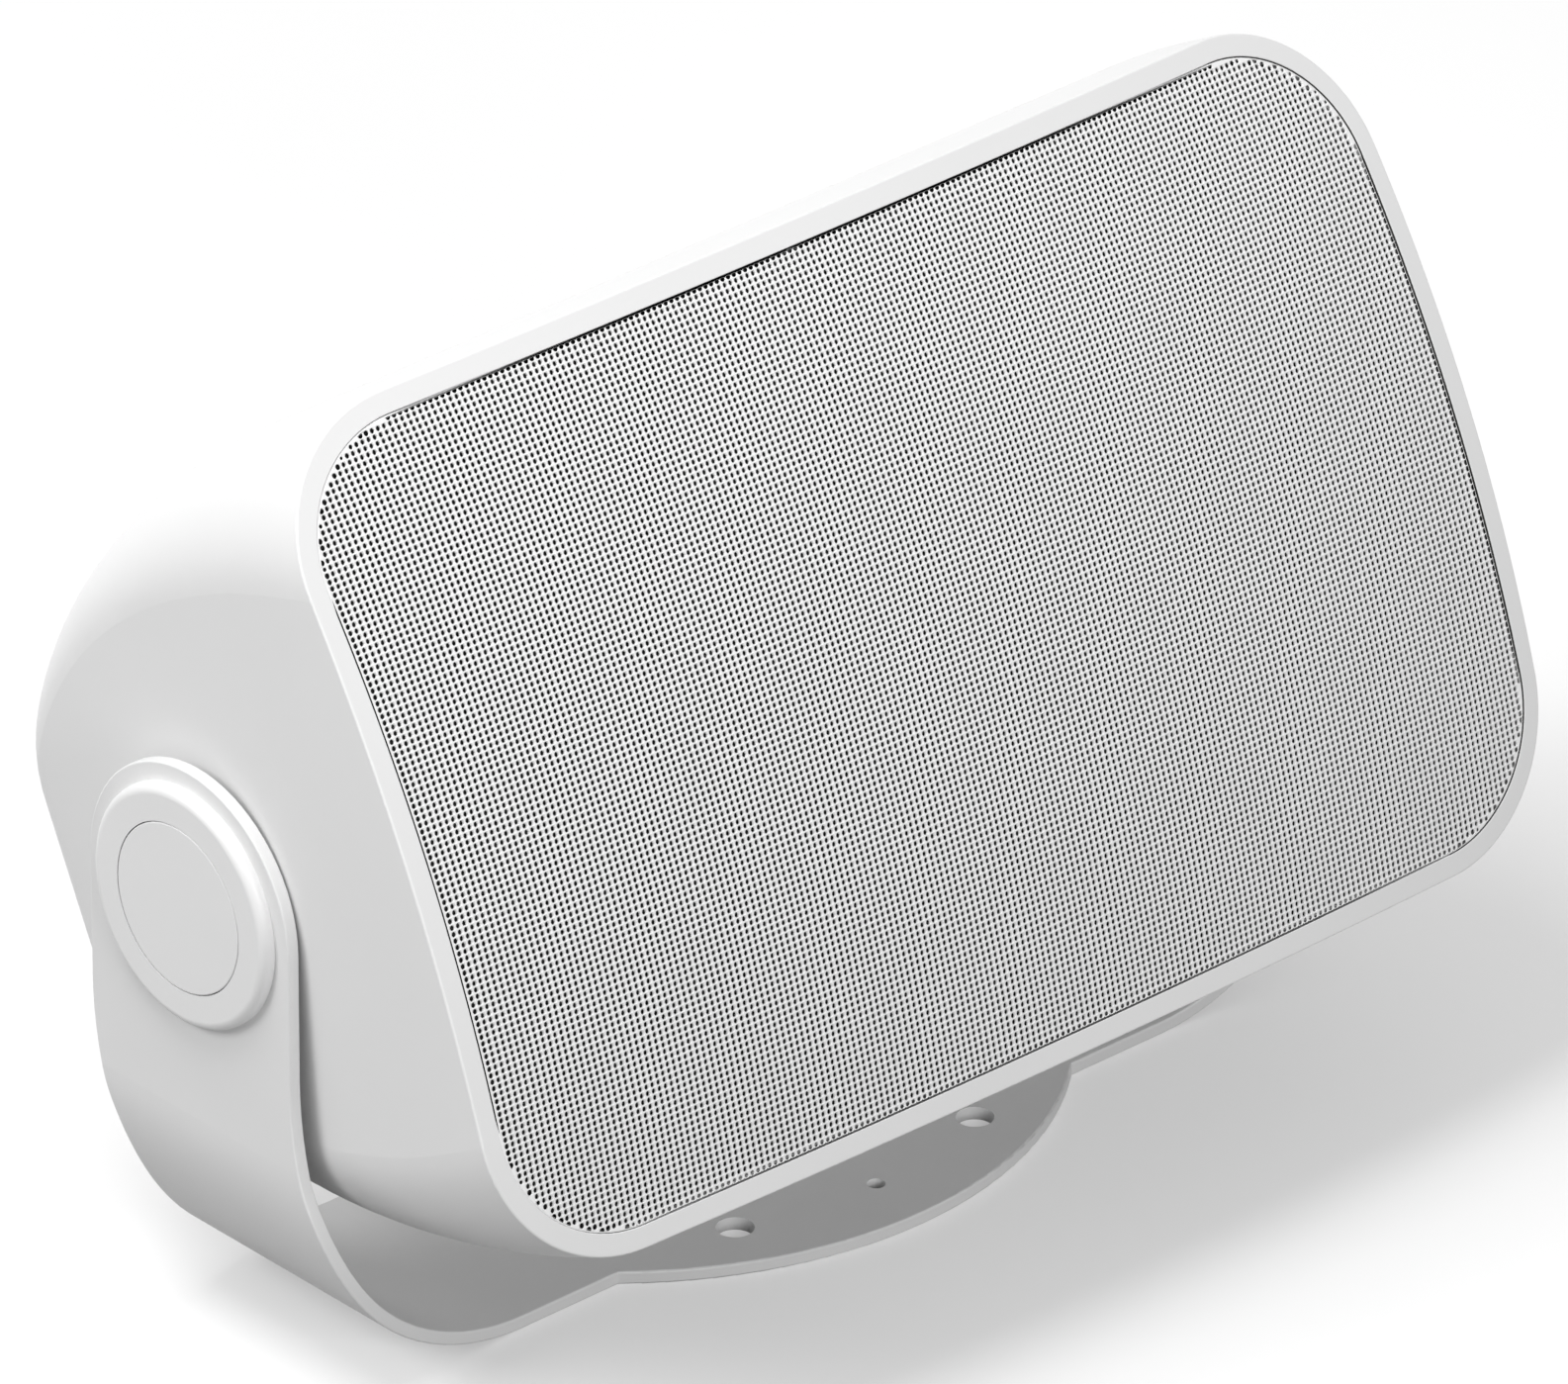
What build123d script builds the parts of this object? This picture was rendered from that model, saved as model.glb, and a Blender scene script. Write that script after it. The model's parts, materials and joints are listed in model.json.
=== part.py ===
from build123d import *
import os
from math import asin, cos, pi, radians, sin, sqrt, tan

# Outdoor two-way speaker on a folded strap bracket, in millimetres.
# X runs across the front, the front faces -Y, Z is up.
# The origin is the centre of the bracket's base, on its underside.

# Bracket
strap_width = 68.0
strap_thickness = 3.3
strap_edge_round = 0.5
bend_inner_radius = 56.5
jog_top = 82.0  # the arms step back between these two heights
jog_bottom = 20.0
flange_reach = 60.5  # from the middle of the base to the edge of a flange lobe
flange_half_chord = 70.0
anchor_spacing = 74.0
anchor_diameter = 9.0
pilot_offset = 44.0
pilot_diameter = 4.4

# Pivot
pivot_height = 114.6
pivot_setback = 10.8  # the arms stand this far behind the middle of the base
pivot_bolt_radius = 4.0
pivot_running_gap = 0.08
pivot_bolt_length = 22.0
pivot_head_radius = 12.0
pivot_head_height = 1.6
pivot_socket_across = 6.0
pivot_ring_radius = 29.5
pivot_ring_height = 3.2
pivot_ring_round = 2.2
pivot_cap_radius = 20.6
pivot_cap_gap = 0.25
pivot_cap_thickness = 1.2
pivot_cap_skirt = 1.4
pivot_cap_round = 0.3
friction_washer_thickness = 1.6
pivot_pad_radius = 24.0
pivot_pad_length = 8.5
pivot_pad_stand = 0.07  # the pads stand this far clear of the sides
pivot_boss_radius = 13.0
pivot_boss_length = 22.0
insert_radius = 6.5
insert_length = 18.0
insert_tail = 2.0  # bore left behind the insert for the end of the bolt
thread_gap = 0.05

# Enclosure
front_width = 323.0
front_height = 202.0
front_corner = 38.0
face_tilt = 26.0  # degrees that the front leans back at rest
face_reach = 98.7  # from the pivot to the middle of the front, square to it
face_rise = 3.5  # the middle of the front lies this far above the pivot
dome_radius_across = 1350.0
dome_radius_up = 420.0
rim_width = 5.5
rim_outer_round = 0.5
rim_inner_round = 0.2
wall = 3.0
body_depth = 178.0
draft_start = 10.0
side_draft = 7.2
top_draft = 1.7
nose_start = 18.0  # the top and bottom curve round to the back from this depth
nose_height = 98.0
back_corner = 10.0
back_edge_depth = 20.5
back_edge_inset = 16.0
tub_front = 6.0
nose_fraction = 0.985  # share of the nose's length that is moulded before the flat of the back
outer_section_count = 8
inner_section_count = 7
corner_limit = 0.95  # largest corner as a share of a section's half height
dome_margin = 1.2  # the domed cutting block reaches past the enclosure by this factor

# Baffle
baffle_depth = 26.0
baffle_thickness = 4.0
baffle_gap = 0.4
baffle_gasket_thickness = 1.0
ledge_width = 8.0
ledge_thickness = 4.0
baffle_screw_inset = 5.5
baffle_boss_radius = 4.0
baffle_boss_length = 12.0

# Grille
grille_gap = 0.2
grille_recess = 0.1
grille_sheet = 1.0
scrim_gap = 0.3
scrim_thickness = 0.5

# Woofer
woofer_edge_margin = 10.0  # from the frame to the side of the grille's opening
woofer_frame_radius = 86.0
woofer_cutout_radius = 75.0
woofer_flange_thickness = 3.5
woofer_screw_radius = 82.0
woofer_screw_count = 6
woofer_gasket_thickness = 2.0
woofer_gasket_inner = 78.5
surround_outer = 78.0
surround_lip = 0.8
roll_outer = 73.0
roll_inner = 62.5
roll_height = 5.5
cone_lip_inner = 60.0
cone_depth = 27.0
cone_thickness = 1.2
coil_radius = 13.0
coil_wall = 0.6
coil_length = 26.0
dust_cap_radius = 22.0
dust_cap_height = 9.0
basket_wall = 2.2
spider_depth = 57.0
spider_outer = 40.0
spider_thickness = 0.7
spider_wave = 1.6
spider_wave_count = 3
basket_cup_radius = 45.0
basket_depth = 68.0
basket_window_width = 34.0
basket_window_count = 6
basket_floor_bore = 18.0
spider_shelf_bore = 36.0
top_plate_radius = 46.0
top_plate_thickness = 5.0
magnet_radius = 50.0
magnet_bore = 22.0
magnet_thickness = 18.0
yoke_radius = 48.0
yoke_thickness = 6.0
pole_radius = 11.9
gap_radius = 14.4

# Tweeter
tweeter_edge_margin = 21.0
tweeter_up = 24.0
tweeter_radius = 37.0
tweeter_plate_thickness = 3.5
tweeter_horn_radius = 26.0
tweeter_throat_radius = 15.0
tweeter_dome_radius = 13.0
tweeter_dome_height = 5.0
tweeter_dome_wall = 0.6
tweeter_motor_radius = 24.0
tweeter_motor_length = 22.0
tweeter_chamber_depth = 8.0
tweeter_chamber_radius = 11.8
tweeter_screw_length = 7.0
tweeter_screw_radius = 31.5
tweeter_screw_count = 4

# Crossover
board_edge_margin = 24.0
board_up = -50.0
board_length = 96.0
board_width = 48.0
board_thickness = 1.6
board_stand = 12.0
board_post_radius = 4.0
board_post_inset = 5.0
inductor_radius = 13.0
inductor_bore = 6.0
inductor_height = 14.0
capacitor_radius = 6.5
capacitor_length = 27.0
resistor_length = 22.0
resistor_width = 9.0
resistor_height = 8.0
inductor_edge_gap = 3.5
inductor_ups = (0.0, 4.0)
capacitor_places = ((0.0, 11.0), (0.0, -4.0))
resistor_places = ((-14.0, -18.0), (14.0, -18.0))

# Rear terminals
pocket_half_width = 37.0
pocket_half_height = 22.0
pocket_corner = 6.0
pocket_floor_depth = 155.0
terminal_clearance = 0.6
terminal_plate_thickness = 3.0
terminal_gasket_thickness = 0.8
terminal_spacing = 26.0
terminal_block_width = 50.0
terminal_block_height = 20.0
terminal_block_depth = 17.0
terminal_screw_inset = 5.0
terminal_screw_length = 6.5
button_radius = 5.0
button_gap = 0.3
button_stand = 9.0
button_collar_radius = 6.6
button_collar_height = 2.0
button_wire_hole = 2.2
button_edge_round = 0.8
contact_thickness = 1.5
contact_radius = 8.0
leaf_thickness = 0.5
leaf_width = 5.0
leaf_reach = 4.0  # from the middle to a fold
leaf_fold_radius = 0.8
leaf_leg_count = 4

# Inner leads
lead_radius = 1.1
lead_bend = 4.0
lead_spacing = 4.0
lead_edge_inset = 3.5
input_lead_across = -12.0
input_lead_turn = 122.0
input_lead_drop = 90.0
woofer_lead_across = -30.0
woofer_lead_depth = 62.0
woofer_lead_angle = -30.0
tweeter_lead_across = 12.0
tweeter_lead_depth = 56.0
tweeter_lead_drop = 10.0

# Screws
screw_radius = 1.8
screw_head_radius = 3.4
screw_head_height = 1.8
screw_length = 14.0
screw_drive = 1.6

os.makedirs("parts", exist_ok=True)

pad_depth = face_reach - draft_start - pivot_pad_radius
pad_face = front_width / 2 - pad_depth * tan(radians(side_draft)) + pivot_pad_stand
arm_inner = pad_face + friction_washer_thickness
arm_outer = arm_inner + strap_thickness
bend_outer_radius = bend_inner_radius + strap_thickness
pivot_point = Vector(0, pivot_setback, pivot_height)

lean = radians(face_tilt)
face_normal = Vector(0, -cos(lean), sin(lean))
face_up = Vector(0, sin(lean), cos(lean))
face = Plane(
    origin=pivot_point + face_normal * face_reach + face_up * face_rise,
    x_dir=(1, 0, 0),
    z_dir=face_normal,
)


def facing(across, up, depth):
    """Plane parallel to the front, at a place on it and a depth behind it."""
    return Plane(face.from_local_coords((across, up, -depth)), x_dir=face.x_dir, z_dir=face.z_dir)


def section_through(across, up):
    """Plane for a round piece's half profile: X is its radius, Y is minus the depth."""
    return Plane(face.from_local_coords((across, up, 0)), x_dir=face.x_dir, z_dir=-face.y_dir)


def driver_axis(across, up):
    """Axis of a round piece, square to the front."""
    return Axis(face.from_local_coords((across, up, 0)), face.z_dir)


def side_plane(side, distance):
    """Plane on the pivot axis, facing outwards on one side."""
    return Plane((side * distance, pivot_setback, pivot_height), x_dir=(0, 1, 0), z_dir=(side, 0, 0))


def ellipse_drop(fraction):
    """Share of a quarter ellipse's height that is lost at a share of its length."""
    clipped = min(max(fraction, 0), 1)
    return 1 - sqrt(1 - clipped**2)


def tub_size(depth):
    """Half width, half height and corner radius of the enclosure at a depth."""
    run = max(depth - draft_start, 0)
    nose = ellipse_drop((depth - nose_start) / (body_depth - nose_start))
    edge = ellipse_drop((depth - body_depth + back_edge_depth) / back_edge_depth)
    half_width = front_width / 2 - run * tan(radians(side_draft)) - back_edge_inset * edge
    half_height = front_height / 2 - run * tan(radians(top_draft)) - nose_height * nose
    corner = front_corner + (back_corner - front_corner) * run / (body_depth - draft_start)
    return half_width, half_height, corner


def tub_section(depth, inset):
    """Outline of the enclosure at a depth, or of its inside where inset is the wall."""
    half_width, half_height, corner = tub_size(depth + inset)
    with BuildSketch(facing(0, 0, depth)) as outline:
        RectangleRounded(
            2 * (half_width - inset),
            2 * (half_height - inset),
            min(corner - inset, corner_limit * (half_height - inset)),
        )
    return outline.sketch


def nose_depths(first, last, count):
    """Depths that crowd together where the nose turns towards the back."""
    return [first + (last - first) * sin(pi / 2 * step / count) for step in range(count + 1)]


def dome_block(recess):
    """Block behind the domed front, or behind a sheet set that far into it."""
    half_height = front_height / 2 + rim_width
    swing = dome_margin * front_width / 2 / dome_radius_across
    axis_point = face.origin - face.z_dir * dome_radius_across
    start = face.z_dir * cos(swing) - face.x_dir * sin(swing)
    radius = dome_radius_up - recess
    edge = sqrt(radius**2 - half_height**2) - dome_radius_up
    plane = Plane(
        axis_point + start * dome_radius_across, x_dir=face.y_dir, z_dir=face.y_dir.cross(start)
    )
    with BuildPart() as block:
        with BuildSketch(plane):
            with BuildLine():
                Polyline(
                    (half_height, edge),
                    (half_height, -dome_margin * body_depth),
                    (-half_height, -dome_margin * body_depth),
                    (-half_height, edge),
                )
                ThreePointArc((-half_height, edge), (0, -recess), (half_height, edge))
            make_face()
        revolve(axis=Axis(axis_point, face.y_dir), revolution_arc=2 * swing * 180 / pi)
    return block.part


def screws(places, length):
    """Pan-head screws with a recess, one on each plane, heads standing on it."""
    solids = []
    for place in places:
        with BuildPart() as screw:
            with BuildSketch(place):
                Circle(screw_head_radius)
            extrude(amount=screw_head_height)
            fillet(screw.edges().sort_by(Axis(place.origin, place.z_dir))[-1], screw_head_height / 3)
            with BuildSketch(place):
                Circle(screw_radius)
            extrude(amount=-length)
            with BuildSketch(place.offset(screw_head_height / 3)):
                RegularPolygon(screw_drive, 6)
            extrude(amount=screw_head_height, mode=Mode.SUBTRACT)
        solids.append(screw.part)
    return Part(children=solids)


# Folded strap bracket: a U bent from one strip, with a lobe of flange on each side of the base
flange_sag = flange_reach - strap_width / 2
flange_radius = (flange_half_chord**2 + flange_sag**2) / (2 * flange_sag)
arm_top = pivot_height + strap_width / 2
jog_middle = (jog_top + jog_bottom) / 2
with BuildPart() as flange:
    with BuildSketch():
        with Locations((0, flange_radius - flange_reach)):
            Circle(flange_radius)
        with Locations((0, flange_reach - flange_radius)):
            Circle(flange_radius, mode=Mode.INTERSECT)
    extrude(amount=strap_thickness)
    fillet(flange.edges().filter_by(GeomType.CIRCLE), strap_edge_round)

with BuildPart() as bracket:
    with BuildSketch(Plane.XZ):
        with BuildLine():
            FilletPolyline(
                (-arm_outer, arm_top),
                (-arm_outer, 0),
                (arm_outer, 0),
                (arm_outer, arm_top),
                radius=bend_outer_radius,
            )
            offset(amount=strap_thickness, side=Side.LEFT)
        make_face()
    extrude(amount=strap_width, both=True)
    with BuildSketch(Plane.YZ):
        with BuildLine():
            for edge in (-1, 1):
                foot = edge * strap_width / 2
                jog = (foot, jog_bottom)
                shoulder = (foot + pivot_setback, jog_top)
                middle = (foot + pivot_setback / 2, jog_middle)
                Line((foot, 0), jog)
                TangentArc(jog, middle, tangent=(0, 1))
                TangentArc(shoulder, middle, tangent=(0, -1))
                Line(shoulder, (foot + pivot_setback, pivot_height))
            Line((-strap_width / 2, 0), (strap_width / 2, 0))
            ThreePointArc(
                (pivot_setback - strap_width / 2, pivot_height),
                (pivot_setback, arm_top),
                (pivot_setback + strap_width / 2, pivot_height),
            )
        make_face()
    extrude(amount=arm_outer, both=True, mode=Mode.INTERSECT)
    arm_ends = bracket.edges().filter_by(GeomType.CIRCLE).filter_by_position(
        Axis.Z, pivot_height, arm_top
    )
    fillet(arm_ends, strap_edge_round)  # the round runs on along the whole strip
    add(flange.part)
    with BuildSketch():
        with GridLocations(anchor_spacing, anchor_spacing, 2, 2):
            Circle(anchor_diameter / 2)
        with GridLocations(0, 2 * pilot_offset, 1, 2):
            Circle(pilot_diameter / 2)
    extrude(amount=strap_thickness, mode=Mode.SUBTRACT)
    with BuildSketch(side_plane(1, 0)):
        Circle(pivot_bolt_radius + pivot_running_gap)
    extrude(amount=arm_outer, both=True, mode=Mode.SUBTRACT)
bracket.part.label = "bracket"
export_step(bracket.part, "parts/bracket.step")

# Pivot trim on each arm: a rounded ring and a plain cap that hides the bolt
for side, hand in ((-1, "left"), (1, "right")):
    with BuildPart() as pivot_ring:
        with BuildSketch(side_plane(side, arm_outer)):
            Circle(pivot_ring_radius)
        extrude(amount=pivot_ring_height)
        fillet(pivot_ring.edges().sort_by(Axis((0, 0, 0), (side, 0, 0)))[-1], pivot_ring_round)
        with BuildSketch(side_plane(side, arm_outer)):
            Circle(pivot_cap_radius + pivot_cap_gap)
        extrude(amount=pivot_ring_height, mode=Mode.SUBTRACT)
    pivot_ring.part.label = f"pivot_ring_{hand}"
    export_step(pivot_ring.part, f"parts/pivot_ring_{hand}.step")

    with BuildPart() as pivot_cap:
        with BuildSketch(side_plane(side, arm_outer)):
            Circle(pivot_cap_radius)
        extrude(amount=pivot_ring_height)
        fillet(pivot_cap.edges().sort_by(Axis((0, 0, 0), (side, 0, 0)))[-1], pivot_cap_round)
        with BuildSketch(side_plane(side, arm_outer)):
            Circle(pivot_cap_radius - pivot_cap_skirt)
        extrude(amount=pivot_ring_height - pivot_cap_thickness, mode=Mode.SUBTRACT)
    pivot_cap.part.label = f"pivot_cap_{hand}"
    export_step(pivot_cap.part, f"parts/pivot_cap_{hand}.step")

# Pivot bolts: low heads on the arms, shanks in the enclosure's inserts
bolts = []
inserts = []
washers = []
for side in (-1, 1):
    with BuildPart() as bolt:
        with BuildSketch(side_plane(side, arm_outer)):
            Circle(pivot_head_radius)
        extrude(amount=pivot_head_height)
        with BuildSketch(side_plane(side, arm_outer)):
            Circle(pivot_bolt_radius)
        extrude(amount=-pivot_bolt_length)
        with BuildSketch(side_plane(side, arm_outer)):
            RegularPolygon(pivot_socket_across / 2, 6, major_radius=False)
        extrude(amount=pivot_head_height, mode=Mode.SUBTRACT)
    bolts.append(bolt.part)
    with BuildPart() as insert:
        with BuildSketch(side_plane(side, pad_face)):
            Circle(insert_radius)
            Circle(pivot_bolt_radius + thread_gap, mode=Mode.SUBTRACT)
        extrude(amount=-insert_length)
    inserts.append(insert.part)
    with BuildPart() as washer:
        with BuildSketch(side_plane(side, pad_face)):
            Circle(pivot_pad_radius)
            Circle(pivot_bolt_radius + thread_gap, mode=Mode.SUBTRACT)
        extrude(amount=friction_washer_thickness)
    washers.append(washer.part)
pivot_bolts = Part(label="pivot_bolts", children=bolts)
export_step(pivot_bolts, "parts/pivot_bolts.step")
pivot_inserts = Part(label="pivot_inserts", children=inserts)
export_step(pivot_inserts, "parts/pivot_inserts.step")
friction_washers = Part(label="friction_washers", children=washers)
export_step(friction_washers, "parts/friction_washers.step")

# Moulded enclosure: a tapered tub that rounds to the back, with a domed rim, a ledge for the baffle,
# pivot bosses in its sides and a terminal pocket in its back
pocket_half_across = front_width / 2 - rim_width
pocket_half_up = front_height / 2 - rim_width
pocket_round = front_corner - rim_width
baffle_back = baffle_depth + baffle_thickness
ledge_depth = baffle_back + baffle_gasket_thickness
cavity_depth = ledge_depth + ledge_thickness
nose_end = nose_start + nose_fraction * (body_depth - nose_start)
screw_ring_round = pocket_round - baffle_screw_inset
screw_half_across = pocket_half_across - baffle_screw_inset
screw_half_up = pocket_half_up - baffle_screw_inset
screw_corner_inset = screw_ring_round * (1 - sqrt(0.5))
baffle_screw_places = [
    (-screw_half_across, 0),
    (screw_half_across, 0),
    (0, -screw_half_up),
    (0, screw_half_up),
]
for across in (-1, 1):
    for up in (-1, 1):
        corner_across = across * (screw_half_across - screw_corner_inset)
        corner_up = up * (screw_half_up - screw_corner_inset)
        baffle_screw_places.append((corner_across, corner_up))
block_hole_width = terminal_block_width + 2 * terminal_clearance
block_hole_height = terminal_block_height + 2 * terminal_clearance
terminal_screw_across = pocket_half_width - terminal_screw_inset
terminal_screw_up = pocket_half_height - terminal_screw_inset

with BuildPart() as cavity:
    cavity_depths = nose_depths(cavity_depth, nose_end - wall, inner_section_count)
    loft(sections=[tub_section(depth, wall) for depth in cavity_depths])
    with BuildSketch(facing(0, 0, pocket_floor_depth - wall)):
        RectangleRounded(
            2 * (pocket_half_width + wall), 2 * (pocket_half_height + wall), pocket_corner + wall
        )
    extrude(amount=-body_depth, mode=Mode.SUBTRACT)

with BuildPart() as enclosure:
    loft(sections=[tub_section(tub_front, 0)] + [
        tub_section(depth, 0) for depth in nose_depths(nose_start, nose_end, outer_section_count)
    ])
    add(dome_block(0), mode=Mode.INTERSECT)
    with BuildSketch(facing(0, 0, ledge_depth)):
        RectangleRounded(2 * pocket_half_across, 2 * pocket_half_up, pocket_round)
    extrude(amount=body_depth, mode=Mode.SUBTRACT)
    with BuildSketch(facing(0, 0, cavity_depth)):
        RectangleRounded(
            2 * (pocket_half_across - ledge_width),
            2 * (pocket_half_up - ledge_width),
            pocket_round - ledge_width,
        )
    extrude(amount=ledge_thickness, mode=Mode.SUBTRACT)
    add(cavity.part, mode=Mode.SUBTRACT)
    with BuildSketch(facing(0, 0, pocket_floor_depth)):
        RectangleRounded(2 * pocket_half_width, 2 * pocket_half_height, pocket_corner)
    extrude(amount=-body_depth, mode=Mode.SUBTRACT)
    with BuildSketch(facing(0, 0, pocket_floor_depth)):
        Rectangle(block_hole_width, block_hole_height)
        with GridLocations(2 * terminal_screw_across, 2 * terminal_screw_up, 2, 2):
            Circle(screw_radius + thread_gap)
    extrude(amount=wall, mode=Mode.SUBTRACT)
    with BuildSketch(facing(0, 0, cavity_depth)):
        with Locations(*baffle_screw_places):
            Circle(baffle_boss_radius)
    extrude(amount=-baffle_boss_length)
    with BuildSketch(facing(0, 0, ledge_depth)):
        with Locations(*baffle_screw_places):
            Circle(screw_radius + thread_gap)
    extrude(amount=-screw_length, mode=Mode.SUBTRACT)
    for side in (-1, 1):
        with BuildSketch(side_plane(side, pad_face)):
            Circle(pivot_pad_radius)
        extrude(amount=-pivot_pad_length)
        with BuildSketch(side_plane(side, pad_face)):
            Circle(pivot_boss_radius)
        extrude(amount=-pivot_boss_length)
        with BuildSketch(side_plane(side, pad_face)):
            Circle(insert_radius)
        extrude(amount=-insert_length, mode=Mode.SUBTRACT)
        with BuildSketch(side_plane(side, pad_face - insert_length)):
            Circle(pivot_bolt_radius + thread_gap)
        extrude(amount=-insert_tail, mode=Mode.SUBTRACT)
    rim_face = enclosure.faces().filter_by(GeomType.TORUS).sort_by(SortBy.AREA)[-1]
    fillet(rim_face.outer_wire().edges(), rim_outer_round)
    rim_face = enclosure.faces().filter_by(GeomType.TORUS).sort_by(SortBy.AREA)[-1]
    fillet(rim_face.inner_wires()[0].edges(), rim_inner_round)
enclosure.part.label = "enclosure"
export_step(enclosure.part, "parts/enclosure.step")

# Flat baffle that carries both drivers and the crossover's posts
woofer_across = woofer_edge_margin + woofer_frame_radius - pocket_half_across
tweeter_across = pocket_half_across - tweeter_edge_margin - tweeter_radius
board_across = pocket_half_across - board_edge_margin - board_length / 2
woofer_screw_angle = 360 / woofer_screw_count
woofer_screw_places = [
    (
        woofer_across + woofer_screw_radius * cos(radians(step * woofer_screw_angle)),
        woofer_screw_radius * sin(radians(step * woofer_screw_angle)),
    )
    for step in range(woofer_screw_count)
]
tweeter_screw_angle = 360 / tweeter_screw_count
tweeter_screw_places = [
    (
        tweeter_across + tweeter_screw_radius * cos(radians((step + 0.5) * tweeter_screw_angle)),
        tweeter_up + tweeter_screw_radius * sin(radians((step + 0.5) * tweeter_screw_angle)),
    )
    for step in range(tweeter_screw_count)
]
board_post_across = board_length / 2 - board_post_inset
board_post_up = board_width / 2 - board_post_inset
board_post_places = [
    (board_across + across * board_post_across, board_up + up * board_post_up)
    for across in (-1, 1)
    for up in (-1, 1)
]
baffle_half_across = pocket_half_across - baffle_gap
baffle_half_up = pocket_half_up - baffle_gap
baffle_round = pocket_round - baffle_gap
with BuildPart() as baffle:
    with BuildSketch(facing(0, 0, baffle_back)):
        RectangleRounded(2 * baffle_half_across, 2 * baffle_half_up, baffle_round)
        with Locations((woofer_across, 0)):
            Circle(woofer_cutout_radius, mode=Mode.SUBTRACT)
        with Locations((tweeter_across, tweeter_up)):
            Circle(tweeter_motor_radius + baffle_gap, mode=Mode.SUBTRACT)
        with Locations(*baffle_screw_places, *woofer_screw_places, *tweeter_screw_places):
            Circle(screw_radius + thread_gap, mode=Mode.SUBTRACT)
    extrude(amount=baffle_thickness)
    with BuildSketch(facing(0, 0, baffle_back)):
        with Locations(*board_post_places):
            Circle(board_post_radius)
            Circle(screw_radius + thread_gap, mode=Mode.SUBTRACT)
    extrude(amount=-board_stand)
baffle.part.label = "baffle"
export_step(baffle.part, "parts/baffle.step")

with BuildPart() as baffle_gasket:
    with BuildSketch(facing(0, 0, ledge_depth)):
        RectangleRounded(2 * baffle_half_across, 2 * baffle_half_up, baffle_round)
        RectangleRounded(
            2 * (pocket_half_across - ledge_width),
            2 * (pocket_half_up - ledge_width),
            pocket_round - ledge_width,
            mode=Mode.SUBTRACT,
        )
        with Locations(*baffle_screw_places):
            Circle(screw_radius + thread_gap, mode=Mode.SUBTRACT)
    extrude(amount=baffle_gasket_thickness)
baffle_gasket.part.label = "baffle_gasket"
export_step(baffle_gasket.part, "parts/baffle_gasket.step")

baffle_screws = screws([facing(*place, baffle_depth) for place in baffle_screw_places], screw_length)
baffle_screws.label = "baffle_screws"
export_step(baffle_screws, "parts/baffle_screws.step")

# Domed grille: a pressed sheet with a skirt that pushes into the rim and stops on the baffle
grille_half_across = pocket_half_across - grille_gap
grille_half_up = pocket_half_up - grille_gap
grille_round = pocket_round - grille_gap


def domed_slab(recess, inset):
    """Rounded block from the baffle forwards, cut to the dome at a recess."""
    with BuildPart() as slab:
        with BuildSketch(facing(0, 0, baffle_depth)):
            RectangleRounded(
                2 * (grille_half_across - inset), 2 * (grille_half_up - inset), grille_round - inset
            )
        extrude(amount=baffle_depth)
        add(dome_block(recess), mode=Mode.INTERSECT)
    return slab.part


with BuildPart() as grille:
    add(domed_slab(grille_recess, 0))
    add(domed_slab(grille_recess + grille_sheet, grille_sheet), mode=Mode.SUBTRACT)
grille.part.label = "grille"
export_step(grille.part, "parts/grille.step")

scrim_recess = grille_recess + grille_sheet + scrim_gap
scrim_inset = grille_sheet + scrim_gap
with BuildPart() as grille_scrim:
    add(domed_slab(scrim_recess, scrim_inset))
    add(domed_slab(scrim_recess + scrim_thickness, scrim_inset), mode=Mode.SUBTRACT)
grille_scrim.part.label = "grille_scrim"
export_step(grille_scrim.part, "parts/grille_scrim.step")


def turned(across, up, points):
    """Ring turned from a half profile of (radius, depth) points about a driver's axis."""
    with BuildPart() as ring:
        with BuildSketch(section_through(across, up)):
            with BuildLine():
                Polyline(*[(radius, -depth) for radius, depth in points], close=True)
            make_face()
        revolve(axis=driver_axis(across, up))
    return ring.part


def dished(across, up, radius, height, thickness, base):
    """Thin spherical cap with its edge at a depth and its crown in front of it."""
    outer = (radius**2 + height**2) / (2 * height)
    inner = outer - thickness
    centre = -base + height - outer
    sweep_angle = 180 / pi * asin(radius / outer)
    with BuildPart() as cap:
        with BuildSketch(section_through(across, up)):
            with BuildLine():
                front = CenterArc((0, centre), outer, 90, -sweep_angle)
                back = CenterArc((0, centre), inner, 90, -sweep_angle)
                Line(front @ 0, back @ 0)
                Line(front @ 1, back @ 1)
            make_face()
        revolve(axis=driver_axis(across, up))
    return cap.part


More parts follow.
